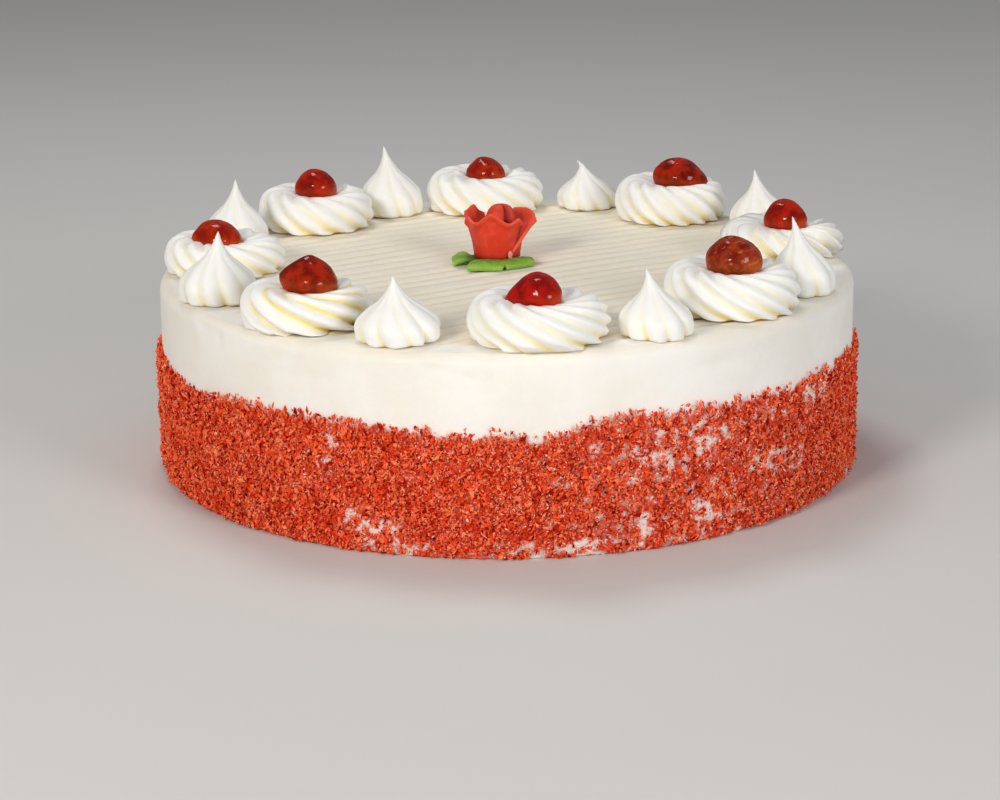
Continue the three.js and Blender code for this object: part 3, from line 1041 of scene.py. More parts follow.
    def _lump(self, heading: float, height: float) -> float:
        """How far the crumb stands up in a lump or sinks in a gap, from -1 to 1."""
        rate = CAKE_RADIUS / self.lump_size
        return drift_round(math.radians(heading), rate, height / self.lump_size, 15.0)

    def build(self, effects: SharedEffects) -> None:
        """Makes one piece of flakes for each tone of crumb.

        Args:
            effects: The shared effects.
        """
        rng = np.random.default_rng(self.seed)
        for tone in CrumbTone:
            mesh = self._joined_flakes(tone, rng)
            name = f"crumb_{tone.name.lower()}"
            place_mesh(name, mesh, Crumb(tone).make(effects), Slot.CRUMB)
            mesh.shade_flat()

    def _templates(self, rng: np.random.Generator) -> tuple[np.ndarray, np.ndarray]:
        """A set of uneven chips of unit size: their vertices, and the triangles they share.

        Args:
            rng: The source of chance.

        Returns:
            Each chip's vertex places, and three vertex numbers for each triangle.
        """
        chips = []
        triangles = []
        for _ in range(self.shapes):
            chip = bmesh.new()
            bmesh.ops.create_uvsphere(chip, u_segments=4, v_segments=2, radius=0.5)
            chip.verts.ensure_lookup_table()
            places = np.array([vert.co for vert in chip.verts])
            triangles = [[vert.index for vert in face.verts] for face in chip.faces]
            chip.free()
            chips.append(places * rng.uniform(*self.chip_reach, (len(places), 1)))
        return np.array(chips), np.array(triangles)

    def _spots(self, count: int, sparse: bool, rng: np.random.Generator) -> np.ndarray:
        """Headings and heights for a number of flakes.

        Args:
            count: How many flakes.
            sparse: Whether they lie mostly where the coat is thin, and not where it is full.
            rng: The source of chance.

        Returns:
            A row with heading and height for each flake.
        """
        spots: list[tuple[float, float]] = []
        while len(spots) < count:
            heading = rng.uniform(-180, 180)
            edge = self.edge(heading)
            stray = rng.random() < self.stray_share
            height = rng.uniform(self.foot, edge + (self.stray_rise if stray else self.edge_rise))
            over = height - edge + self.fray * (rng.random() - 0.3) * 2
            cover = self.cover(heading, height)
            kept = rng.random() < (1.15 - cover if sparse else cover)
            if kept and (over < 0 or stray):
                spots.append((heading, height))
        return np.array(spots)

    def _axes(self, spots: np.ndarray, rng: np.random.Generator) -> tuple[np.ndarray, ...]:
        """Turns each flake at random, mostly flat on the side and upright near the coat's edge.

        Args:
            spots: Each flake's heading and height.
            rng: The source of chance.

        Returns:
            For each flake the way out of the cake and the ways of its length, width and
            thickness, as rows of length 1.
        """
        count = len(spots)
        turn = np.radians(spots[:, 0])
        nothing = np.zeros(count)
        outward = np.stack([np.cos(turn), np.sin(turn), nothing], axis=1)
        sideways = np.stack([-np.sin(turn), np.cos(turn), nothing], axis=1)
        upward = np.tile([0.0, 0.0, 1.0], (count, 1))
        edges = np.array([self.edge(heading) for heading in spots[:, 0]])
        loose = np.where(spots[:, 1] > edges - self.upright_band, self.upright_freedom, 1.0)
        roll = (math.pi / 2 + loose * rng.uniform(-math.pi / 2, math.pi / 2, count))[:, None]
        lean = np.radians(rng.normal(0, self.tilt, count))[:, None]
        long_axis = np.cos(roll) * sideways + np.sin(roll) * upward
        flat_axis = np.cos(roll) * upward - np.sin(roll) * sideways
        wide_axis = np.cos(lean) * flat_axis + np.sin(lean) * outward
        thin_axis = np.cos(lean) * outward - np.sin(lean) * flat_axis
        dip = np.radians(rng.normal(0, self.tilt * 0.7, count))[:, None]
        dipped = np.cos(dip) * long_axis + np.sin(dip) * thin_axis
        risen = np.cos(dip) * thin_axis - np.sin(dip) * long_axis
        return outward, dipped, wide_axis, risen

    def _joined_flakes(self, tone: CrumbTone, rng: np.random.Generator) -> bpy.types.Mesh:
        """All flakes of one tone as a single mesh in metres.

        Args:
            tone: The kind of crumb.
            rng: The source of chance.

        Returns:
            The mesh.
        """
        count = tone.value[2]
        chips, triangles = self._templates(rng)
        spots = self._spots(count, tone is CrumbTone.PALE, rng)
        outward, long_axis, wide_axis, thin_axis = self._axes(spots, rng)
        small = tone in (CrumbTone.DUST, CrumbTone.PALE)
        shortest, longest = self.dust_length if small else self.length
        length = shortest + (longest - shortest) * rng.beta(1.5, 2.6, count)
        width = length * rng.uniform(*self.width_share, count)
        thickness = length * rng.uniform(*self.thickness_share, count)
        lumps = np.array([self._lump(*spot) for spot in spots])
        piled = self.pile * rng.random(count) ** 1.4
        standing = np.clip(piled + self.lump_rise * lumps, 0.0, self.pile + 1)
        middle = outward * (CAKE_RADIUS + 0.1 + standing)[:, None]
        middle[:, 2] = spots[:, 1]
        local = chips[rng.integers(0, len(chips), count)]
        places = middle[:, None, :] + (
            local[:, :, 0:1] * (long_axis * length[:, None])[:, None, :]
            + local[:, :, 1:2] * (wide_axis * width[:, None])[:, None, :]
            + local[:, :, 2:3] * (thin_axis * thickness[:, None])[:, None, :]
        )
        places[:, :, 2] = np.maximum(places[:, :, 2], self.floor_gap)
        clumps = np.array([self._clump(*spot) for spot in spots])
        # Painted shade: flakes low in the pile and in the gaps between lumps darker, raised ones
        # lighter; the clumps and the spread vary the tone at random.
        shades = self.shade * (piled / self.pile - 0.5)
        shades = shades + self.clump * clumps + self.lump_shade * lumps
        shades += rng.normal(*self.shade_spread, count)
        tones = np.repeat(np.clip(shades, 0, 1), chips.shape[1])
        faces = triangles[None, :, :] + (np.arange(count) * chips.shape[1])[:, None, None]
        return mesh_from_arrays(f"crumb_{tone.name.lower()}", places * MM, faces, tones)


def mesh_from_arrays(
    name: str, places: np.ndarray, faces: np.ndarray, tones: np.ndarray
) -> bpy.types.Mesh:
    """Joins many small triangle shapes into one mesh.

    Args:
        name: The mesh's name.
        places: Vertex places in metres.
        faces: Triangles as three vertex numbers each.
        tones: One number for each vertex, kept as the attribute "tone".

    Returns:
        The mesh.
    """
    places = places.reshape(-1, 3)
    faces = faces.reshape(-1, 3)
    mesh = bpy.data.meshes.new(name)
    mesh.vertices.add(len(places))
    mesh.vertices.foreach_set("co", places.astype(np.float32).ravel())
    mesh.loops.add(faces.size)
    mesh.loops.foreach_set("vertex_index", faces.astype(np.int32).ravel())
    mesh.polygons.add(len(faces))
    mesh.polygons.foreach_set("loop_start", np.arange(0, faces.size, 3, dtype=np.int32))
    mesh.update(calc_edges=True)
    layer = mesh.attributes.new("tone", "FLOAT", "POINT")
    layer.data.foreach_set("value", tones.astype(np.float32))
    return mesh


# ----------------------------------------------------------------------------------- cherries


@dataclass
class Cherry:
    """A glace cherry that sits in a rosette. The sizes are those of the solid it stands for."""

    offset: float
    width: float
    depth: float
    height: float
    top: float
    tilt: float
    pull: float
    peak: float
    glaze: Glaze
    lumps: float = 0.05
    dimples: float = 0.035
    wrinkles: float = 0.016
    play: float = 0.15
    subdivisions: int = 6

    def build(self) -> bmesh.types.BMesh:
        """Models the cherry about its rosette's middle, standing on the frosting's top.

        Returns:
            The form in millimetres.
        """
        form = bmesh.new()
        thin = form.verts.layers.float.new("thin")
        bmesh.ops.create_icosphere(form, subdivisions=self.subdivisions, radius=1.0)
        seed = self.width + self.top
        for vert in form.verts:
            x, y, z = vert.co
            dimples = math.sin(3 * x + 2 * z) + math.sin(4 * y - 2 * x)
            lump = drift(1.6 * x, 1.6 * y, 1.6 * z, seed)
            wrinkle = abs(drift(3.4 * x, 3.4 * y, 3.4 * z, seed + 2))
            swell = 1 + self.dimples * dimples + self.lumps * lump - self.wrinkles * (0.3 - wrinkle)
            # Painted glow of light through the glaze: orange on the lower side, most towards +X
            vert[thin] = (0.25 + 0.75 * ease(0.15, 0.75, x)) * ease(0.45, -0.5, z) * 0.8
            vert.co *= swell
            vert.co = self._drawn(vert.co)
        tipped = Matrix.Rotation(math.radians(self.tilt), 3, "Y")
        bmesh.ops.rotate(form, verts=form.verts, matrix=tipped)
        bmesh.ops.translate(form, verts=form.verts, vec=(self.offset, 0, self.top - self.height / 2))
        return form

    def _drawn(self, point: Vector) -> Vector:
        """A point of the unit ball drawn out to the cherry's shape.

        Args:
            point: The point of the ball.

        Returns:
            The same point of the cherry, about its own middle.
        """
        slim = 1 - self.pull * point.x
        crown = 1 - self.peak * max(0.0, point.z)
        return Vector((
            point.x * crown * self.width / 2,
            point.y * crown * slim * self.depth / 2,
            point.z * slim * self.height / 2,
        ))

    def ceiling(self, x: float, y: float) -> float:
        """How high cream can stand under the cherry at a place about its rosette's middle.

        Args:
            x: Place along X.
            y: Place along Y.

        Returns:
            The height, or infinity where the cherry does not reach.
        """
        tilt = math.radians(self.tilt)
        along = (x - self.offset) / (self.width / 2 + self.play)
        reach = along * along + (y / (self.depth / 2 + self.play)) ** 2
        if reach >= 1:
            return math.inf
        middle = self.top - self.height / 2 - math.sin(tilt) * (x - self.offset)
        return middle - self.height / 2 * math.sqrt(1 - reach) - 0.1


# ------------------------------------------------------------------------------------ piping


def valley_between(phase: float, skew: float, sharpness: float, keen: float = 0.0) -> float:
    """How deep between two ridges a place lies.

    Args:
        phase: The turn counted in ridges, each 2 pi.
        skew: How far the ridges lean over to one side.
        sharpness: Above 1 for narrow valleys.
        keen: 0 for round ridges with sharp valleys between, and 1 for the opposite.

    Returns:
        0 on a ridge and 1 in the bottom of a valley.
    """
    leaning = (phase + skew * math.sin(phase)) / 2
    rounded = (1 - abs(math.cos(leaning))) ** sharpness
    return rounded + keen * (abs(math.sin(leaning)) - rounded)


def settle(point: Vector, foot: float = 122.6, flare: float = 1.4, bend: float = 4.0) -> Vector:
    """Draws a point of piped cream in from the cake's rim and sets it down on the round shoulder.

    Args:
        point: The point on the cake.
        foot: The furthest from the cake's axis that cream stands.
        flare: How much further out it may hang for each millimetre of height.
        bend: The shoulder's radius.

    Returns:
        The settled point.
    """
    radius = math.hypot(point.x, point.y)
    limit = foot + flare * max(0.0, point.z - TOP)
    share = min(1.0, limit / radius)
    past = min(bend, max(0.0, radius * share - (CAKE_RADIUS - bend)))
    drop = (bend - math.sqrt(bend * bend - past * past)) * math.exp((TOP - point.z) / 2)
    return Vector((point.x * share, point.y * share, point.z - drop))


@dataclass
class Piped:
    """Cream piped from a star nozzle, standing at a place on the cake's top."""

    number: int
    azimuth: float
    ring: float
    width: float
    height: float

    @property
    def middle(self) -> Vector:
        """The middle of its foot."""
        azimuth = math.radians(self.azimuth)
        return Vector((self.ring * math.cos(azimuth), self.ring * math.sin(azimuth), TOP))

    def _turned(
        self, outline: Outline, steps: tuple[int, ...], columns: int
    ) -> tuple[bmesh.types.BMesh, Layers]:
        """Turns an outline that is given in shares of the cream's size.

        Args:
            outline: Pairs of distance, as a share of half the width, and share of the height.
            steps: Rows in each span of the outline.
            columns: Steps in the turn.

        Returns:
            The form, and its layers for the place along the outline and for the yellow glow painted
            into valleys and pockets.
        """
        scaled = tuple((out * self.width / 2, up * self.height) for out, up in outline)
        form, place = turned_form(smooth_outline(scaled, steps), columns)
        valley = form.verts.layers.float.new("valley")
        pocket = form.verts.layers.float.new("pocket")
        return form, (place, valley, pocket)


@dataclass
class Spike:
    """A small peak of cream drawn up from a rosette's crest."""

    heading: float
    out: float
    rise: float
    width: float

    def lift(self, x: float, y: float) -> float:
        """How much the peak raises a place about the rosette's middle.

        Args:
            x: Place along X.
            y: Place along Y.

        Returns:
            The rise in millimetres.
        """
        turn = math.radians(self.heading)
        away = math.hypot(x - self.out * math.cos(turn), y - self.out * math.sin(turn))
        return self.rise * math.exp(-away / self.width)


@dataclass
class Rosette(Piped):
    """A coil of cream whose ridges sweep round and in."""

    ridges: int
    twist: float
    cherry: Cherry
    depth: float = 0.07
    skew: float = 0.75
    sharpness: float = 1.5
    keen: float = 0.0
    glow: float = 0.12
    glow_fade: float = 5.0
    crease_band: tuple[float, float] = (0.62, 0.98)
    pool_band: tuple[float, float] = (0.45, 0.85)
    pool_fade: float = 2.2
    # strength of the painted yellow glow along the creases
    pocket_glow: float = 0.0
    spikes: tuple[Spike, ...] = ()
    outline: Outline = (
        (0, 0), (0.84, 0), (0.96, 0.16), (1, 0.4), (0.97, 0.66), (0.88, 0.89), (0.7, 1), (0.46, 0.94),
        (0, 0.78),
    )
    steps: tuple[int, ...] = (2, 7, 8, 9, 9, 9, 8, 8)
    columns_per_ridge: int = 14
    crest: float = 6.0
    crest_cut: float = 1.3
    climb: float = 0.8
    climb_heading: float = 165.0
    wander: float = 0.9
    depth_spread: float = 0.5
    swell: float = 0.025

    @property
    def name(self) -> str:
        """The name of the CAD node that the rosette stands for."""
        return f"rosette_{self.number}"

    def build(self) -> bmesh.types.BMesh:
        """Models the rosette in its place on the cake.

        Returns:
            The form in millimetres.
        """
        columns = self.columns_per_ridge * self.ridges
        form, (place, valley, pocket) = self._turned(self.outline, self.steps, columns)
        middle = self.middle
        for vert in form.verts:
            point, deep = self._shaped(vert.co, vert[place])
            up = max(0.0, point.z)
            creased = ease(*self.crease_band, deep)
            # painted glow: yellow light in the valleys, strongest near the foot
            vert[valley] = creased * (self.glow + (1 - self.glow) * math.exp(-up / self.glow_fade))
            # painted glow: a deeper yellow at the foot and, for some rosettes, along the creases
            low = math.exp(-up / self.pool_fade)
            foot_glow = ease(*self.pool_band, deep) * low * ease(0.8, 1.0, vert[place])
            vert[pocket] = max(foot_glow, self.pocket_glow * creased)
            vert.co = settle(point + middle)
        return form

    def _shaped(self, point: Vector, place: float) -> tuple[Vector, float]:
        """Moves one point of the turned outline.

        Args:
            point: The point before it is moved.
            place: How far along the outline it lies.

        Returns:
            The new point about the rosette's middle, and how deep in a valley it is.
        """
        radius = math.hypot(point.x, point.y)
        start = math.atan2(point.y, point.x)
        turn = start + math.radians(90)
        last = len(self.outline) - 1
        heading = start - math.radians(self.twist) * place / last
        phase = self.ridges * turn + self.wander * drift_round(turn, 1.0, place / 5, self.number)
        deep = valley_between(phase, self.skew, self.sharpness, self.keen)
        strength = 1 + self.depth_spread * drift_round(turn, 2.0, place / 3, self.number + 20)
        foot = bell(1.3, 0.9, place)
        cut = self.depth * strength * (1 + 0.9 * foot) * deep * ease(0.0, 1.0, place)
        crest = self.crest_cut * strength * deep * bell(self.crest, 1.2, place)
        swell = 1 + self.swell * drift_round(heading, 1.5, 0.0, self.number + 40)
        radius *= (1 - cut) * swell
        slope = self.climb * radius / (self.width / 2)
        climb = slope * math.cos(heading - math.radians(self.climb_heading))
        x, y = radius * math.cos(heading), radius * math.sin(heading)
        z = point.z - crest + climb * point.z / self.height
        if place > 5:
            z += sum(spike.lift(x, y) for spike in self.spikes) * ease(5, 6, place)
        if place > 3:
            z = min(z, self.cherry.ceiling(x, y))
        return Vector((x, y, z)), deep

    def build_cherry(self) -> bmesh.types.BMesh:
        """Models the cherry in its place on the rosette.

        Returns:
            The form in millimetres.
        """
        form = self.cherry.build()
        bmesh.ops.translate(form, verts=form.verts, vec=self.middle)
        return form


@dataclass
class Kiss(Piped):
    """A drop of cream drawn up to a point."""

    lobes: int
    lean: float
    towards: float
    hook: float = 0.0
    depth: float = 0.075
    depth_spread: float = 1.1
    twist: float = 35.0
    wander: float = 1.4
    skew: float = 0.25
    sharpness: float = 1.1
    glow: float = 0.1
    glow_fade: float = 4.0
    # strength of the painted yellow glow in the pockets
    pocket_glow: float = 0.6
    crease_band: tuple[float, float] = (0.55, 0.98)
    pool_band: tuple[float, float] = (0.5, 0.9)
    pool_fade: float = 1.4
    outline: Outline = (
        (0, 0), (0.86, 0), (1, 0.14), (0.96, 0.3), (0.72, 0.46), (0.38, 0.62), (0.14, 0.81),
        (0.035, 0.96), (0, 1),
    )
    steps: tuple[int, ...] = (2, 7, 7, 7, 7, 7, 6, 3)
    columns_per_lobe: int = 14

    @property
    def name(self) -> str:
        """The name of the CAD node that the kiss stands for."""
        return f"kiss_{self.number}"

    def build(self) -> bmesh.types.BMesh:
        """Models the kiss in its place on the cake.

        Returns:
            The form in millimetres.
        """
        columns = self.columns_per_lobe * self.lobes
        form, (place, valley, pocket) = self._turned(self.outline, self.steps, columns)
        middle = self.middle
        for vert in form.verts:
            point, deep = self._shaped(vert.co, vert[place])
            up = max(0.0, point.z)
            creased = ease(*self.crease_band, deep)
            # painted glow: yellow light in the valleys and a deeper yellow in the pockets at the foot
            vert[valley] = creased * (self.glow + (1 - self.glow) * math.exp(-up / self.glow_fade))
            vert[pocket] = self.pocket_glow * ease(*self.pool_band, deep) * math.exp(-up / self.pool_fade)
            vert.co = settle(point + middle)
        return form

    def _shaped(self, point: Vector, place: float) -> tuple[Vector, float]:
        """Moves one point of the turned outline, and says how deep in a valley it is.

        Args:
            point: The point before it is moved.
            place: How far along the outline it lies.

        Returns:
            The new point about the kiss's middle, and how deep in a valley it is.
        """
        radius = math.hypot(point.x, point.y)
        start = math.atan2(point.y, point.x)
        turn = start + math.radians(90)
        share = point.z / self.height
        heading = start - math.radians(self.twist) * share
        phase = self.lobes * turn + self.wander * drift_round(turn, 1.0, share, self.number + 60)
        deep = valley_between(phase, self.skew, self.sharpness)
        strength = 1 + self.depth_spread * drift_round(turn, 2.0, share, self.number + 80)
        foot = bell(1.2, 0.8, place)
        fade = ease(1.0, 0.6, share) * ease(0.0, 1.0, place)
        radius *= 1 - self.depth * strength * (1 + 0.5 * foot) * deep * fade
        bend = self.lean * share * share
        hook = self.hook * ease(0.86, 1.0, share)
        towards = math.radians(self.towards)
        x = radius * math.cos(heading) + (bend + hook) * math.cos(towards)
        y = radius * math.sin(heading) + (bend + hook) * math.sin(towards)
        return Vector((x, y, point.z)), deep


# -------------------------------------------------------------------------------- sugar rose


def thicken(form: bmesh.types.BMesh, thickness: float, rounding: float, steps: int) -> None:
    """Gives a flat sheet its thickness, half to each side, and rounds its edges.

    Args:
        form: The sheet.
        thickness: The paste's thickness in millimetres.
        rounding: How much of the thickness the rounding of an edge takes.
        steps: Faces across the rounding.
    """
    bmesh.ops.recalc_face_normals(form, faces=form.faces)
    for vert in form.verts:
        vert.co += vert.normal * thickness / 2
    bmesh.ops.solidify(form, geom=form.faces[:], thickness=thickness)
    sharp = [edge for edge in form.edges if edge.is_manifold and edge.calc_face_angle() > SHARP_EDGE]
    bmesh.ops.bevel(
        form, geom=sharp, offset=thickness * rounding, affect="EDGES", segments=steps, profile=0.5,
        material=-1, clamp_overlap=True,
    )


def flat_sheet(columns: int, rows: int) -> tuple[bmesh.types.BMesh, Layers]:
    """Starts a sheet of paste as a flat square from -0.5 to 0.5.

    Args:
        columns: Steps across the sheet.
        rows: Steps up the sheet.

    Returns:
        The form, and its layers for the rim and for the painted shade in its folds.
    """
    form = bmesh.new()
    layers = tuple(form.verts.layers.float.new(name) for name in ("rim", "fold_shade"))
    bmesh.ops.create_grid(form, x_segments=columns, y_segments=rows, size=0.5)
    return form, layers


@dataclass
class Petal:
    """A sheet of sugar paste bent round the bud, its rim waved and rolled."""

    name: str
    begin: float
    end: float
    skew: float
    rim: float
    curl: float
    rim_start: float
    rim_end: float
    bow: float
    wave: float
    waves: float
    foot: float = 7.1
    thickness: float = 1.1
    roll: float = 0.5
    edge_roll: float = 0.0
    first_drop: float = 0.0
    last_drop: float = 1.4
    point: float = 0.0
    point_at: float = 0.5
    point_width: float = 0.16
    ripple: float = 0.22
    side_band: float = 0.14
    rounding: float = 0.42
    edge_steps: int = 3
    columns: int = 56
    rows: int = 30

    def rim_height(self, across: float) -> float:
        """Height of the rim at a share of the way across.

        Args:
            across: The share of the way across, from 0 to 1.

        Returns:
            The height in millimetres.
        """
        level = self.rim_start + (self.rim_end - self.rim_start) * across
        bow = self.bow * math.sin(math.pi * across)
        tip = self.point * bell(self.point_at, self.point_width, across)
        corners = self.first_drop * ease(0.08, 0.0, across) + self.last_drop * ease(0.94, 1.0, across)
        return level + bow + tip - corners + self.wave * math.sin(math.tau * self.waves * across)

    def build(self) -> bmesh.types.BMesh:
        """Models the petal about the rose's middle.

        Returns:
            The form in millimetres.
        """
        form, (rim, fold_shade) = flat_sheet(self.columns, self.rows)
        for vert in form.verts:
            across, up = vert.co.x + 0.5, vert.co.y + 0.5
            heading = math.radians(self.begin + (self.end - self.begin) * across + self.skew * up)
            flare = self.foot + (self.rim - self.foot) * up**self.curl
            ripple = self.ripple * drift(6 * across, 4 * up, 0.0, self.rim)
            side = ease(self.side_band, 0.0, across)
            out = flare + self.thickness / 2 + self.roll * ease(0.82, 1.0, up)
            out += ripple * ease(0, 0.3, up)
            out += self.edge_roll * side * ease(0.1, 0.5, up)
            vert.co = (out * math.cos(heading), out * math.sin(heading), up * self.rim_height(across))
            vert[rim] = 0.8 * max(ease(0.9, 1.0, up), side * ease(0, 0.1, self.edge_roll))
            # painted shade at the petal's foot
            vert[fold_shade] = 0.75 * ease(0.14, 0.0, up)
        thicken(form, self.thickness, self.rounding, self.edge_steps)
        return form


@dataclass
class Leaf:
    """A strip of green paste with a blunt end, arched up where it leaves the flower."""

    name: str
    heading: float
    reach: float
    width: float
    arch: float
    teeth: float = 0.0
    teeth_rate: float = 26.0
    start: float = 3.5
    covered: float = 8.6
    spread: float = 0.4
    end: float = 0.75
    thickness: float = 1.7
    bluntness: float = 0.3
    slant: float = 0.0
    rounding: float = 0.2
    edge_steps: int = 2
    columns: int = 36
    rows: int = 18

    def build(self) -> bmesh.types.BMesh:
        """Models the leaf about the rose's middle, lying on the frosting.

        Returns:
            The form in millimetres.
        """
        form, (rim, fold_shade) = flat_sheet(self.columns, self.rows)
        for vert in form.verts:
            along, side = vert.co.x + 0.5, 2 * vert.co.y
            out = self.start + (self.reach - self.start) * along
            rounded = 1 - (1 - self.end) * max(0.0, 2 * along - 1) ** 2
            half = min(self.spread * out, rounded * self.width / 2)
            tooth = self.teeth * abs(math.sin(self.teeth_rate * along)) * abs(side) ** 6
            free = max(0.0, (out - self.covered) / (self.reach - self.covered))
            crown = self.arch * math.sin(math.pi * free) * (0.4 + 0.9 * math.sqrt(1.001 - side * side))
            crown += 0.25 * drift(out / 3, half * side / 3, 0.0, self.heading)
            blunt = (self.bluntness * side - self.slant * along) * side * ease(0.0, 1.0, along)
            rise = max(0.0, crown) * ease(0, 0.2, free)
            vert.co = (out - blunt, (half - tooth) * side, self.thickness / 2 + rise)
            vert[rim] = 0.7 * ease(0.8, 1.0, max(abs(side), along))
            # painted shade where the leaf runs in under the flower
            vert[fold_shade] = 0.85 * ease(self.covered + 4.5, self.covered, out - 2 * side)
        thicken(form, self.thickness, self.rounding, self.edge_steps)
        spun = Matrix.Rotation(math.radians(self.heading), 3, "Z")
        bmesh.ops.rotate(form, verts=form.verts, matrix=spun)
        return form


@dataclass
class SugarRose:
    """A sugar-paste rose: a rolled bud, three petals and three leaves."""

    x: float = -3.6
    y: float = 9.5
    leaf_top: float = 1.6 + 2 * CLEARANCE
    lean: float = 1.8
    bud_outline: Outline = ((0, 0), (6.7, 0), (6.3, 8), (5.7, 14), (4.6, 17.2), (2.6, 18.7), (0, 19))
    bud_steps: tuple[int, ...] = (2, 8, 8, 8, 8, 6)
    bud_columns: int = 120
    roll_heading: float = -41.0
    roll_step: float = 0.16
    cleft: float = 0.42
    cleft_width: float = 24.0
    lip: float = 0.06
    lip_width: float = 4.0
    notch: float = 1.6
    notch_width: float = 20.0
    dab_heading: float = -57.0
    dab_ring: float = 9.3
    dab_height: float = 1.7
    dab_size: tuple[float, float, float] = (0.7, 0.9, 1.5)
    dab_lumps: float = 0.25
    petals: tuple[Petal, ...] = (
        Petal("front", -190, -43, 12, 9.8, 1.5, 12.4, 13.2, 3.2, 1.5, 2.3, roll=0.9),
        Petal("left", 112, 164, 0, 11, 1.5, 13.4, 15.6, 1.2, 0, 0, point=1.6, point_at=0.45),
        Petal("right", -56, 12, 52, 13.0, 2.0, 13.6, 15.0, 1.4, 0.2, 1,
              foot=7.7, edge_roll=0.7, first_drop=0.6),
    )
    leaves: tuple[Leaf, ...] = (
        Leaf("left", 197, 16.6, 9.8, 1.5, end=1.0, spread=0.55, slant=1.4, bluntness=0.1),
        Leaf("front", 257, 19, 12.6, 1.2, end=1.0, spread=0.6, slant=-1.4, bluntness=0.1),
        Leaf("right", 303, 16.6, 15.4, 1.1, teeth=0.35, spread=0.75),
    )
    paste: Paste = Paste("rose_paste", Tint(220, 54, 26), Tint(126, 12, 4), Tint(236, 88, 58))
    sugar: Paste = Paste("sugar_dab", Tint(222, 96, 82), Tint(126, 12, 4), Tint(238, 150, 140))
    green: Paste = Paste(
        "leaf_paste", Tint(106, 152, 40), Tint(42, 88, 16), Tint(148, 192, 74), 0.3, 0.8
    )

    def build(self, effects: SharedEffects) -> None:
        """Models the rose's pieces and dresses them.

        Args:
            effects: The shared effects.
        """
        paste = self.paste.make(effects)
        green = self.green.make(effects)
        ground = (self.x, self.y, TOP)
        flower = (self.x, self.y, CAKE_HEIGHT + self.leaf_top)
        self._place("rose_bud", self._bud(), paste, Slot.ROSE, flower)
        dab = self._dab()
        bmesh.ops.translate(dab, verts=dab.verts, vec=flower)
        hand_over("rose_dab", dab, self.sugar.make(effects), Slot.ROSE)
        for petal in self.petals:
            self._place(f"rose_petal_{petal.name}", petal.build(), paste, Slot.ROSE, flower)
        for leaf in self.leaves:
            self._place(f"rose_leaf_{leaf.name}", leaf.build(), green, Slot.LEAF, ground)

    @staticmethod
    def _place(
        name: str, form: bmesh.types.BMesh, material: bpy.types.Material, slot: Slot,
        where: tuple[float, float, float],
    ) -> None:
        """Sets a piece of the rose down in its place on the cake."""
        bmesh.ops.translate(form, verts=form.verts, vec=where)
        hand_over(name, form, material, slot, name)

    def _dab(self) -> bmesh.types.BMesh:
        """Models a small dab of sugar left at the flower's foot.

        Returns:
            The form in millimetres.
        """
        form = bmesh.new()
        rim = form.verts.layers.float.new("rim")
        form.verts.layers.float.new("fold_shade")
        bmesh.ops.create_icosphere(form, subdivisions=4, radius=1.0)
        turn = math.radians(self.dab_heading)
        deep, wide, tall = self.dab_size
        for vert in form.verts:
            vert[rim] = 1.0
            lump = drift(2 * vert.co.x, 2 * vert.co.y, 2 * vert.co.z, 3.0)
            vert.co *= 1 + self.dab_lumps * lump
            out = self.dab_ring + deep * vert.co.x
            along = wide * vert.co.y
            x = out * math.cos(turn) - along * math.sin(turn)
            y = out * math.sin(turn) + along * math.cos(turn)
            vert.co = (x, y, self.dab_height + tall * vert.co.z)
        return form

    def _bud(self) -> bmesh.types.BMesh:
        """Models the bud, whose paste is rolled so that one edge laps over the rest.

        Returns:
            The form in millimetres.
        """
        rows = smooth_outline(self.bud_outline, self.bud_steps)
        form, _ = turned_form(rows, self.bud_columns)
        rim = form.verts.layers.float.new("rim")
        fold_shade = form.verts.layers.float.new("fold_shade")
        tip = self.bud_outline[-1][1]
        for vert in form.verts:
            heading = math.degrees(math.atan2(vert.co.y, vert.co.x))
            past = (self.roll_heading - heading) % 360
            lap = self.roll_step * (past / 360)
            cleft = self.cleft * bell(0.0, self.cleft_width, past)
            lip = self.lip * bell(360.0, self.lip_width, past)
            high = ease(0.4 * tip, 0.75 * tip, vert.co.z)
            shrink = 1 - (self.roll_step - lap + (cleft + lip)) * high
            # painted shade along the rolled slit
            vert[fold_shade] = high * (bell(0.0, 16.0, past) + 0.5 * bell(360, 5.0, past))
            vert[rim] = 0.7 * high * bell(350.0, 8.0, past)
            vert.co.x *= shrink
            vert.co.y *= shrink
            vert.co.x += self.lean * vert.co.z / tip
            off_axis = ease(0, 3, math.hypot(vert.co.x, vert.co.y))
            vert.co.z -= self.notch * high * bell(0.0, self.notch_width, past) * off_axis
        return form


# ------------------------------------------------------------------------------------ studio


@dataclass
class SoftLight:
    """A soft square light that faces a point."""

    name: str
    place: tuple[float, float, float]
    size: float
    watts: float
    tint: Tint = Tint(255, 255, 255)
    target: tuple[float, float, float] = (0.0, 0.0, 40.0)

    def hang(self) -> None:
        """Adds the light to the scene."""
        lamp = bpy.data.lights.new(self.name, "AREA")
        lamp.size = self.size * MM
        lamp.energy = self.watts
        lamp.color = self.tint.light[:3]
        hung = bpy.data.objects.new(self.name, lamp)
        hung.location = Vector(self.place) * MM
        aim = Vector(self.target) - Vector(self.place)
        hung.rotation_euler = aim.to_track_quat("-Z", "Y").to_euler()
        bpy.context.scene.collection.objects.link(hung)


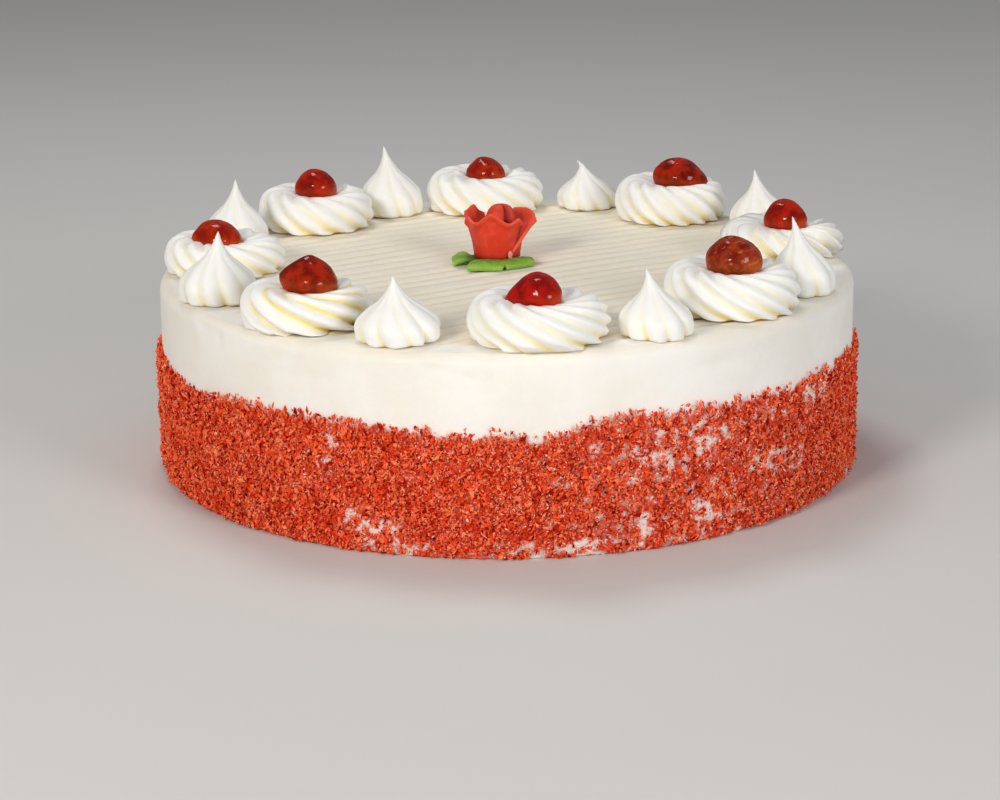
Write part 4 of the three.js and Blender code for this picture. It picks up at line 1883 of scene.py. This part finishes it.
@dataclass
class Studio:
    """Camera, lights, floor and sky. The camera sees the cake at the photograph's angle."""

    camera_place: tuple[float, float, float] = (-2.86, -950.6, 288.1)
    pitch: float = 15.825
    roll: float = -0.637
    focal_pixels: float = 2683.1
    picture_width: float = 1000.0
    sensor: float = 36.0
    clip_end: float = 100.0
    floor_reach: float = 3200.0
    floor_tint: Tint = Tint(214, 212, 208)
    floor_pale: Tint = Tint(220, 218, 214)
    sky_tint: Tint = Tint(236, 238, 242)
    sky_strength: float = 0.3
    lights: tuple[SoftLight, ...] = (
        SoftLight("key_light", (-640, -1000, 620), 300, 7.8, Tint(255, 250, 244)),
        SoftLight("fill_light", (800, -1000, 460), 420, 6.2, Tint(250, 250, 255)),
        SoftLight("top_light", (-180, 420, 1060), 320, 3.0),
    )

    def build(self) -> None:
        """Sets up everything that isn't part of the cake."""
        scene = bpy.context.scene
        scene.view_settings.view_transform = "Standard"
        scene.view_settings.look = "None"
        self._camera(scene)
        self._sky(scene)
        self._floor(scene)
        for light in self.lights:
            light.hang()

    def _camera(self, scene: bpy.types.Scene) -> None:
        """Adds the camera.

        Args:
            scene: The scene to set up.
        """
        camera = bpy.data.objects.new("camera", bpy.data.cameras.new("camera"))
        camera.data.sensor_width = self.sensor
        camera.data.lens = self.focal_pixels * self.sensor / self.picture_width
        camera.data.clip_end = self.clip_end
        tip = Matrix.Rotation(math.radians(90 - self.pitch), 4, "X")
        lean = Matrix.Rotation(math.radians(self.roll), 4, "Z")
        camera.matrix_world = Matrix.Translation(Vector(self.camera_place) * MM) @ tip @ lean
        scene.collection.objects.link(camera)
        scene.camera = camera

    def _sky(self, scene: bpy.types.Scene) -> None:
        """Adds soft light from all round.

        Args:
            scene: The scene to set up.
        """
        world = bpy.data.worlds.new("soft_sky")
        world.use_nodes = True
        background = world.node_tree.nodes["Background"]
        background.inputs["Color"].default_value = self.sky_tint.light
        background.inputs["Strength"].default_value = self.sky_strength
        scene.world = world

    def _floor(self, scene: bpy.types.Scene) -> None:
        """Adds the plain pale floor.

        Args:
            scene: The scene to set up.
        """
        form = bmesh.new()
        bmesh.ops.create_grid(form, x_segments=8, y_segments=8, size=self.floor_reach * MM)
        mesh = bpy.data.meshes.new("floor")
        form.to_mesh(mesh)
        form.free()
        material, wiring, shader = new_material("floor")
        shade = wiring.noise(300.0, 1.0)
        colour = wiring.blend(shade, self.floor_tint.light, self.floor_pale.light)
        wiring.tree.links.new(colour, shader.inputs["Base Color"])
        set_sockets(shader, {"Roughness": 0.8, "Specular IOR Level": 0.2})
        mesh.materials.append(material)
        floor = bpy.data.objects.new("floor", mesh)
        scene.collection.objects.link(floor)


# -------------------------------------------------------------------------------------- cake


# The thin colours are the painted orange glow of light through each glaze.
DARK_GLAZE = {"flesh": Tint(168, 34, 4), "dark": Tint(104, 12, 0), "thin": Tint(206, 88, 8)}
BROWN_GLAZE = {"flesh": Tint(160, 56, 22), "dark": Tint(114, 24, 4), "thin": Tint(204, 108, 30)}
BRIGHT_GLAZE = {"flesh": Tint(176, 28, 2), "dark": Tint(124, 12, 0), "thin": Tint(208, 84, 22)}
ORANGE_GLAZE = {"flesh": Tint(184, 46, 0), "dark": Tint(138, 18, 0), "thin": Tint(220, 100, 4)}

ROSETTES = (
    Rosette(1, 180, 102, 44.5, 12, 13, 95,
            Cherry(-2.2, 18.2, 16, 13, 17.6, 6, 0.1, 0, Glaze("cherry_1", **ORANGE_GLAZE))),
    Rosette(2, 134.8, 104.2, 45, 14.2, 12, 100,
            Cherry(0.2, 16, 15, 13.5, 21.7, 0, 0.04, 0, Glaze("cherry_2", **BRIGHT_GLAZE)),
            spikes=(Spike(20, 13, 2.2, 1.6),)),
    Rosette(3, 94.3, 105.2, 46.8, 14.6, 13, 95,
            Cherry(0.6, 15.6, 15, 13, 19.9, 4, 0.08, 0, Glaze("cherry_3", **ORANGE_GLAZE)),
            spikes=(Spike(185, 11, 1.8, 1.4), Spike(-5, 12, 2.4, 1.5))),
    Rosette(4, 52, 105.5, 43.5, 15, 14, 95,
            Cherry(4, 21.4, 16, 14, 22.6, 12, 0.12, 0.05, Glaze("cherry_4", **DARK_GLAZE)),
            spikes=(Spike(170, 17, 1.2, 1.2),)),
    Rosette(5, 8.5, 102.5, 46, 12, 14, 90,
            Cherry(1.5, 15.8, 15, 13.5, 20, 0, 0.05, 0, Glaze("cherry_5", **BRIGHT_GLAZE)),
            depth=0.25, skew=0.2, keen=1.0),
    Rosette(6, -41.5, 101.5, 46.5, 15, 13, 130,
            Cherry(0.8, 19.2, 17, 15, 24.3, 0, 0.05, 0,
                   Glaze("cherry_6", **BROWN_GLAZE, crease=0.2, vein=0.6))),
    Rosette(7, -84.5, 105.2, 47, 14.2, 12, 150,
            Cherry(-1.5, 18.6, 15, 13.5, 21.2, -6, -0.28, 0.15, Glaze("cherry_7")),
            depth=0.065, glow=0.1),
    Rosette(8, -129.5, 105.4, 44.5, 13.2, 9, 165,
            Cherry(1.2, 19.6, 16, 14.5, 22.6, 8, -0.06, 0.3, Glaze("cherry_8", **DARK_GLAZE)),
            depth=0.13, glow=0.9, pocket_glow=0.22, sharpness=1.6),
)

KISSES = (
    Kiss(1, 157.5, 110, 24, 24.8, 8, 0.3, 20),
    Kiss(2, 115, 106.5, 25.4, 27, 9, 2.8, 190),
    Kiss(3, 72.5, 110.5, 24.4, 18.8, 9, 3, 180, hook=1.2),
    Kiss(4, 30.3, 113, 23, 23.4, 8, 2.5, 170),
    Kiss(5, -23.5, 112, 22.5, 26.6, 8, 4.2, 175),
    Kiss(6, -64.4, 112.5, 24.8, 21.8, 9, 3.6, 170),
    Kiss(7, -109, 110, 28.5, 21.2, 10, 1.5, 200),
    Kiss(8, -155, 110.5, 27.2, 24, 9, 1, 20),
)


def main() -> None:
    """Builds the studio and every piece of the cake, and reports each one."""
    logging.basicConfig(level=logging.INFO, format="%(message)s")
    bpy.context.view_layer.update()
    Studio().build()
    effects = SharedEffects()
    coat = CrumbCoat()
    body = FrostedBody().build(coat)
    hand_over("frosted_body", body, Frosting().make(effects), Slot.FROSTING, "cake")
    coat.build(effects)
    piping = Piping().make(effects)
    for rosette in ROSETTES:
        hand_over(rosette.name, rosette.build(), piping, Slot.PIPING, rosette.name)
        glaze = rosette.cherry.glaze
        cherry = rosette.build_cherry()
        hand_over(glaze.name, cherry, glaze.make(effects), Slot.CHERRY, glaze.name)
    for kiss in KISSES:
        hand_over(kiss.name, kiss.build(), piping, Slot.PIPING, kiss.name)
    SugarRose().build(effects)


if __name__ == "__main__":
    main()
